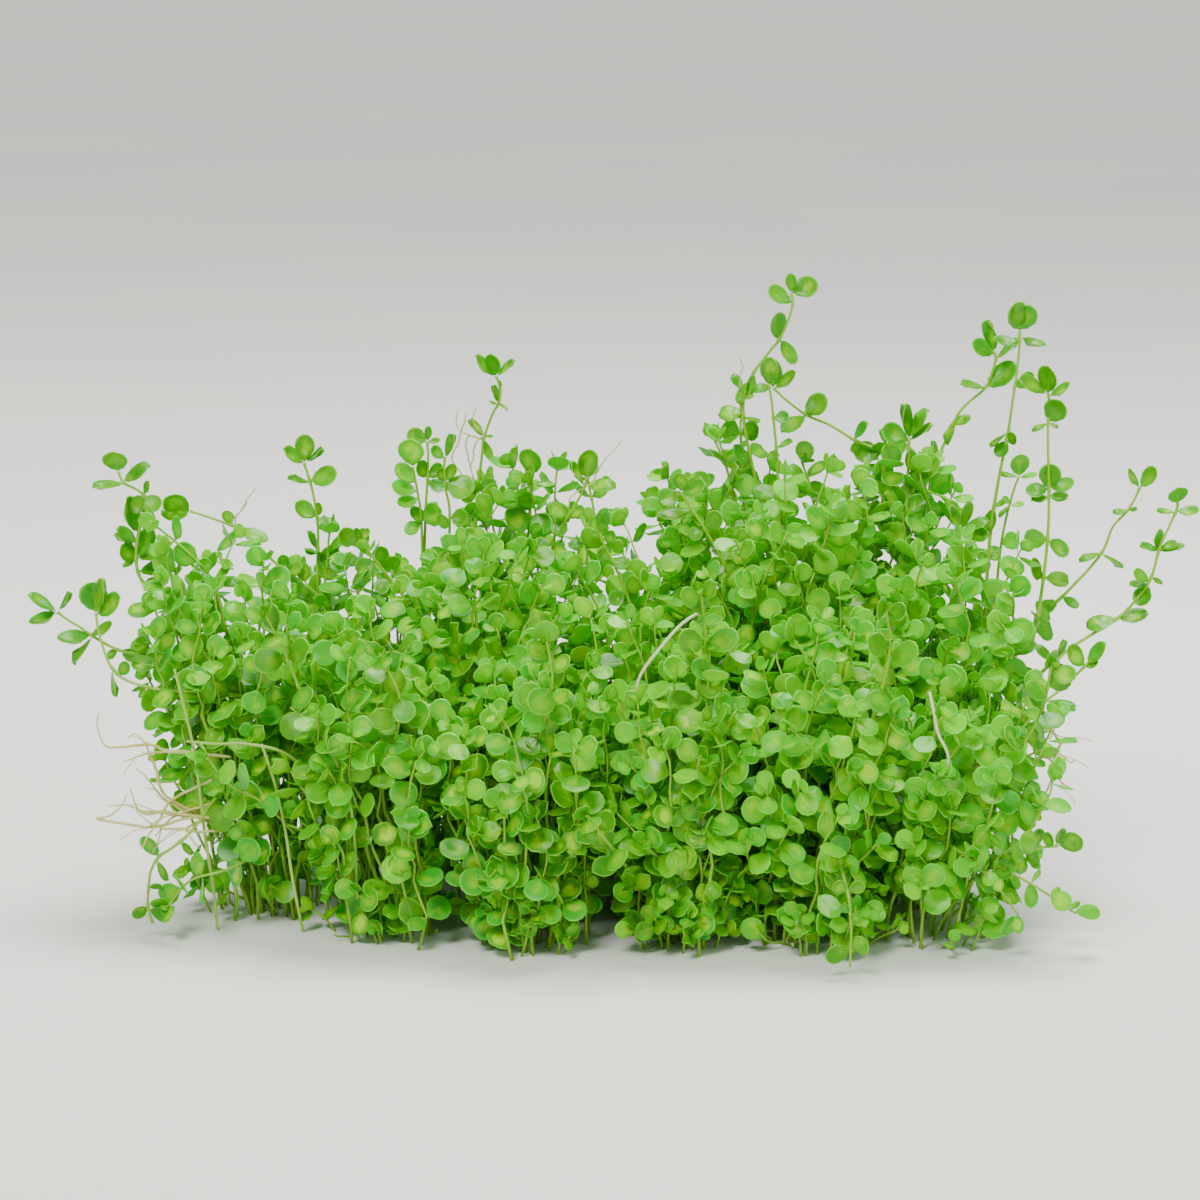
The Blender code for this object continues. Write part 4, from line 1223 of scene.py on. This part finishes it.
def makeMottle():
    # soft uneven patches, for colour in living tissue and for the painted sheen on leaves, with a fine grain
    # for the relief
    tree, given, out = groupTree("mottleAndSheenPatches", [
        ("Vector", "NodeSocketVector", None),
        ("Patch Scale", "NodeSocketFloat", 260.0),
        ("Grain Scale", "NodeSocketFloat", 3800.0),
    ], [("Patches", "NodeSocketFloat"), ("Grain", "NodeSocketFloat")])
    g = given.outputs
    patches = addNode(tree, "ShaderNodeTexNoise", {
        "Vector": g["Vector"], "Scale": g["Patch Scale"], "Detail": 1.0, "Roughness": 0.45,
    })
    grain = addNode(tree, "ShaderNodeTexNoise", {
        "Vector": g["Vector"], "Scale": g["Grain Scale"], "Detail": 1.0,
    })
    tree.links.new(ramp(tree, patches.outputs["Fac"], 0.38, 0.64), out.inputs["Patches"])
    tree.links.new(grain.outputs["Fac"], out.inputs["Grain"])
    return tree


def makeBladePaint():
    # a leaf's colour from its tone (in the close growth partly painted shade), hue and paleness, with lime
    # patches that are partly a painted sheen, a painted highlight along its rim, a middle vein and a paler
    # underside
    tree, given, out = groupTree("bladePaint", [
        ("Tone", "NodeSocketFloat", 0.5),
        ("Hue", "NodeSocketFloat", 0.0),
        ("Pale", "NodeSocketFloat", 0.0),
        ("Rim", "NodeSocketFloat", 0.0),
        ("Side", "NodeSocketFloat", 0.0),
        ("UV", "NodeSocketVector", None),
        ("Patches", "NodeSocketFloat", 0.0),
        ("Deep", "NodeSocketColor", (0.03, 0.2, 0.01, 1)),
        ("Fresh", "NodeSocketColor", (0.2, 0.5, 0.02, 1)),
        ("Cool", "NodeSocketColor", (0.06, 0.4, 0.08, 1)),
        ("Wan", "NodeSocketColor", (0.45, 0.68, 0.16, 1)),
        ("Rim Highlight Colour", "NodeSocketColor", (0.5, 0.75, 0.12, 1)),
    ], [("Color", "NodeSocketColor"), ("Vein", "NodeSocketFloat"), ("Rim Highlight Mask", "NodeSocketFloat")])
    g = given.outputs
    colour = mixColour(tree, g["Tone"], g["Deep"], g["Fresh"])
    colour = mixColour(tree, math2(tree, "MULTIPLY", g["Hue"], 0.85), colour, g["Cool"])
    # lime patches in the middle of a leaf, partly the leaf's own lime colour and partly a painted sheen, and
    # cool green spreads from its rim
    border = ramp(tree, g["Rim"], 0.5, 1.0)
    border = math2(tree, "MULTIPLY", border, math2(tree, "ADD", g["Hue"], 0.15), clamp=True)
    colour = mixColour(tree, border, colour, g["Cool"])
    heart = ramp(tree, g["Rim"], 0.95, 0.25)
    patch = math2(tree, "MULTIPLY", g["Patches"], heart)
    yellowAndSheen = math2(tree, "ADD", math2(tree, "MULTIPLY", g["Pale"], 1.1), 0.5)
    patch = math2(tree, "MULTIPLY", patch, yellowAndSheen, clamp=True)
    colour = mixColour(tree, patch, colour, g["Wan"])
    split = addNode(tree, "ShaderNodeSeparateXYZ", {0: g["UV"]})
    offset = math2(tree, "ABSOLUTE", math2(tree, "SUBTRACT", split.outputs[0], 0.5))
    vein = ramp(tree, offset, 0.05, 0.0)
    vein = math2(tree, "MULTIPLY", vein, ramp(tree, split.outputs[1], 0.95, 0.35))
    colour = mixColour(tree, math2(tree, "MULTIPLY", vein, 0.3), colour, g["Wan"])
    colour = mixColour(tree, math2(tree, "MULTIPLY", g["Side"], 0.3), colour, g["Wan"])
    # painted highlight: a pale line along the leaf's rim
    rim = ramp(tree, g["Rim"], 0.84, 0.98)
    colour = mixColour(tree, math2(tree, "MULTIPLY", rim, 0.65), colour, g["Rim Highlight Colour"])
    tree.links.new(colour, out.inputs["Color"])
    tree.links.new(vein, out.inputs["Vein"])
    tree.links.new(rim, out.inputs["Rim Highlight Mask"])
    return tree


mottle = makeMottle()
bladePaint = makeBladePaint()

leafColours = {
    "growth": {"Deep": (0.03, 0.24, 0.0, 1), "Fresh": (0.23, 0.8, 0.0, 1), "Cool": (0.03, 0.52, 0.03, 1),
               "Wan": (0.54, 0.88, 0.0, 1), "Rim Highlight Colour": (0.36, 0.95, 0.04, 1), "through": (0.22, 0.98, 0.0, 1)},
    "shoot": {"Deep": (0.04, 0.26, 0.0, 1), "Fresh": (0.13, 0.5, 0.0, 1), "Cool": (0.025, 0.4, 0.015, 1),
              "Wan": (0.36, 0.72, 0.0, 1), "Rim Highlight Colour": (0.4, 0.86, 0.02, 1), "through": (0.15, 0.72, 0.0, 1)},
}


def leafMaterial(name, c):
    material, tree, out = newMaterial(name)
    coords = addNode(tree, "ShaderNodeTexCoord")
    tone = addNode(tree, "ShaderNodeAttribute", attribute_name="tone")
    place = addNode(tree, "ShaderNodeAttribute", attribute_name="place")
    toneParts = addNode(tree, "ShaderNodeSeparateColor", {0: tone.outputs["Color"]})
    placeParts = addNode(tree, "ShaderNodeSeparateColor", {0: place.outputs["Color"]})
    spots = addNode(tree, "ShaderNodeGroup", node_tree=mottle)
    tree.links.new(coords.outputs["Object"], spots.inputs["Vector"])
    paint = addNode(tree, "ShaderNodeGroup", node_tree=bladePaint)
    given = {
        "Tone": toneParts.outputs[0],
        "Hue": toneParts.outputs[1],
        "Pale": toneParts.outputs[2],
        "Rim": placeParts.outputs[0],
        "Side": placeParts.outputs[1],
        "UV": coords.outputs["UV"],
        "Patches": spots.outputs["Patches"],
    }
    for key, socket in given.items():
        tree.links.new(socket, paint.inputs[key])
    for key in ("Deep", "Fresh", "Cool", "Wan", "Rim Highlight Colour"):
        paint.inputs[key].default_value = c[key]
    grain = spots.outputs["Grain"]
    rough = addNode(tree, "ShaderNodeMapRange", {"Value": grain, "To Min": 0.22, "To Max": 0.4})
    height = math2(tree, "SUBTRACT", math2(tree, "MULTIPLY", grain, 0.4), paint.outputs["Vein"])
    bump = addNode(tree, "ShaderNodeBump", {"Height": height, "Strength": 0.5, "Distance": 0.00006})
    gloss = addNode(tree, "ShaderNodeBsdfPrincipled", {
        "Base Color": paint.outputs["Color"], "Roughness": rough.outputs["Result"],
        "Normal": bump.outputs["Normal"], "Specular IOR Level": 0.42,
    })
    lit = mixColour(tree, 0.5, paint.outputs["Color"], c["through"])
    through = addNode(tree, "ShaderNodeBsdfTranslucent", {"Color": lit})
    blend = addNode(tree, "ShaderNodeMixShader", {0: 0.42, 1: gloss.outputs[0], 2: through.outputs[0]})
    tree.links.new(blend.outputs[0], out.inputs["Surface"])
    return material


stemColours = {
    "young": {"low": (0.26, 0.5, 0.03, 1), "high": (0.26, 0.58, 0.005, 1), "mark": (0.42, 0.7, 0.06, 1)},
    "old": {"low": (0.34, 0.56, 0.06, 1), "high": (0.42, 0.64, 0.1, 1), "mark": (0.56, 0.74, 0.24, 1)},
    "pale": {"low": (0.6, 0.72, 0.36, 1), "high": (0.74, 0.82, 0.54, 1), "mark": (0.86, 0.9, 0.7, 1)},
    "root": {"low": (0.6, 0.58, 0.18, 1), "high": (0.66, 0.64, 0.22, 1), "mark": (0.78, 0.74, 0.36, 1)},
}


def stemMaterial(name, c, patchScale):
    material, tree, out = newMaterial(name)
    coords = addNode(tree, "ShaderNodeTexCoord")
    spots = addNode(tree, "ShaderNodeGroup", node_tree=mottle)
    tree.links.new(coords.outputs["Object"], spots.inputs["Vector"])
    spots.inputs["Patch Scale"].default_value = patchScale
    split = addNode(tree, "ShaderNodeSeparateXYZ", {0: coords.outputs["Object"]})
    height = ramp(tree, split.outputs[2], 0.0, 0.09)
    colour = mixColour(tree, height, c["low"], c["high"])
    colour = mixColour(tree, math2(tree, "MULTIPLY", spots.outputs["Patches"], 0.5), colour, c["mark"])
    grain = spots.outputs["Grain"]
    rough = addNode(tree, "ShaderNodeMapRange", {"Value": grain, "To Min": 0.35, "To Max": 0.6})
    bump = addNode(tree, "ShaderNodeBump", {"Height": grain, "Strength": 0.4, "Distance": 0.00004})
    gloss = addNode(tree, "ShaderNodeBsdfPrincipled", {
        "Base Color": colour, "Roughness": rough.outputs["Result"], "Normal": bump.outputs["Normal"],
    })
    through = addNode(tree, "ShaderNodeBsdfTranslucent", {"Color": colour})
    blend = addNode(tree, "ShaderNodeMixShader", {0: 0.25, 1: gloss.outputs[0], 2: through.outputs[0]})
    tree.links.new(blend.outputs[0], out.inputs["Surface"])
    return material


growthLeaf = leafMaterial("growthLeaf", leafColours["growth"])
shootLeaf = leafMaterial("shootLeaf", leafColours["shoot"])
youngStem = stemMaterial("youngStem", stemColours["young"], 90)
oldStem = stemMaterial("oldStem", stemColours["old"], 140)
paleStem = stemMaterial("paleStem", stemColours["pale"], 140)
rootSkin = stemMaterial("rootSkin", stemColours["root"], 200)
print("stage: paint mixed")


totals = {"leaves": 0, "triangles": 0}


def finishPiece(name, node, parts):
    piece = joinPieces(name, parts) if len(parts) > 1 else parts[0]
    piece.name = name
    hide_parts(node)
    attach(piece, "root")
    triangles = sum(len(p.vertices) - 2 for p in piece.data.polygons)
    totals["triangles"] += triangles
    return triangles


for number, (name, t) in enumerate(tufts.items()):
    stems, leaves = growTuft(number, name, t)
    parts = [leafMesh(name + "_leaves", leaves, blades), stemCurve(name + "_stems", stems, 0)]
    parts[0].data.materials.append(growthLeaf)
    parts[1].data.materials.append(youngStem)
    if name in oldStems:
        paths = [smoothRoute([Vector(p) * mm for p in route]) for route in oldStems[name]]
        stems = [(path, stemRadii(path, 0.36, 0.3)) for path in paths]
        parts.append(stemCurve(name + "_old_stems", stems, 2))
        parts[2].data.materials.append(oldStem if "left" in name else paleStem)
    triangles = finishPiece(name.replace("tuft", "growth"), name, parts)
    totals["leaves"] += len(leaves)
    print("  ", name, len(stems), "stems", len(leaves), "leaves", triangles, "triangles")
print("stage: close growth grown,", totals)

for number, name in enumerate(shoots):
    stems, leaves = growShoot(number, name)
    parts = [leafMesh(name + "_leaves", leaves, blades), stemCurve(name + "_stem", stems, 2)]
    parts[0].data.materials.append(shootLeaf)
    parts[1].data.materials.append(youngStem)
    if name in airRoots:
        parts.append(stemCurve(name + "_roots", growRoots(20 + number, airRoots[name], 0, 0.22), 1))
        parts[2].data.materials.append(rootSkin)
    finishPiece(name.replace("sprig", "shoot"), name, parts)
    totals["leaves"] += len(leaves)
print("stage: shoots grown,", totals)

for number, (name, routes) in enumerate(rootThreads.items()):
    threads = stemCurve(name + "_threads", growRoots(number, routes), 1)
    threads.data.materials.append(rootSkin)
    finishPiece("water_" + name, name, [threads])
print("stage: roots grown,", totals)


# pale flat floor, and soft lights
studio = {
    "floor": (0.74, 0.76, 0.82, 1),
    "cloud": (0.84, 0.85, 0.84, 1),
    "world": (0.97, 0.98, 0.9, 1),
    "worldStrength": 0.38,
    "suns": {
        "key": {"from": (-0.3, -0.78, 0.85), "strength": 3.0, "angle": math.radians(18),
                "colour": (1.0, 0.99, 0.88)},
        "fill": {"from": (0.7, -0.95, 0.5), "strength": 0.8, "angle": math.radians(45),
                 "colour": (1.0, 1.0, 0.88)},
    },
    "lights": {"top": {"at": (0.15, 0.25, 1.1), "size": 0.6, "power": 20, "colour": (1.0, 1.0, 0.88)}},
}


def addStudio(s):
    deselectAll()
    bpy.ops.mesh.primitive_plane_add(size=60, location=(0, 0, 0))
    floor = bpy.context.object
    floor.name = "floor"
    material, tree, out = newMaterial("paleFloor")
    coords = addNode(tree, "ShaderNodeTexCoord")
    cloud = {"Vector": coords.outputs["Object"], "Scale": 3.0, "Detail": 2.0}
    cloud = addNode(tree, "ShaderNodeTexNoise", cloud)
    tint = mixColour(tree, cloud.outputs["Fac"], s["floor"], s["cloud"])
    surface = addNode(tree, "ShaderNodeBsdfPrincipled", {"Base Color": tint, "Roughness": 0.7})
    tree.links.new(surface.outputs[0], out.inputs["Surface"])
    floor.data.materials.append(material)
    world = bpy.data.worlds.new("studio")
    world.use_nodes = True
    background = world.node_tree.nodes["Background"]
    background.inputs["Color"].default_value = s["world"]
    background.inputs["Strength"].default_value = s["worldStrength"]
    bpy.context.scene.world = world
    for name, l in s["suns"].items():
        data = bpy.data.lights.new(name, "SUN")
        data.energy = l["strength"]
        data.angle = l["angle"]
        data.color = l["colour"]
        sun = bpy.data.objects.new(name, data)
        sun.location = l["from"]
        sun.rotation_euler = (-Vector(l["from"])).to_track_quat("-Z", "Y").to_euler()
        bpy.context.scene.collection.objects.link(sun)
    for name, l in s["lights"].items():
        data = bpy.data.lights.new(name, "AREA")
        data.shape = "DISK"
        data.size = l["size"]
        data.energy = l["power"]
        data.color = l["colour"]
        lamp = bpy.data.objects.new(name, data)
        lamp.location = l["at"]
        lamp.rotation_euler = (Vector((0, 0, 0.05)) - Vector(l["at"])).to_track_quat("-Z", "Y").to_euler()
        bpy.context.scene.collection.objects.link(lamp)


addCamera(cameraView)
addStudio(studio)
print("stage: studio ready")
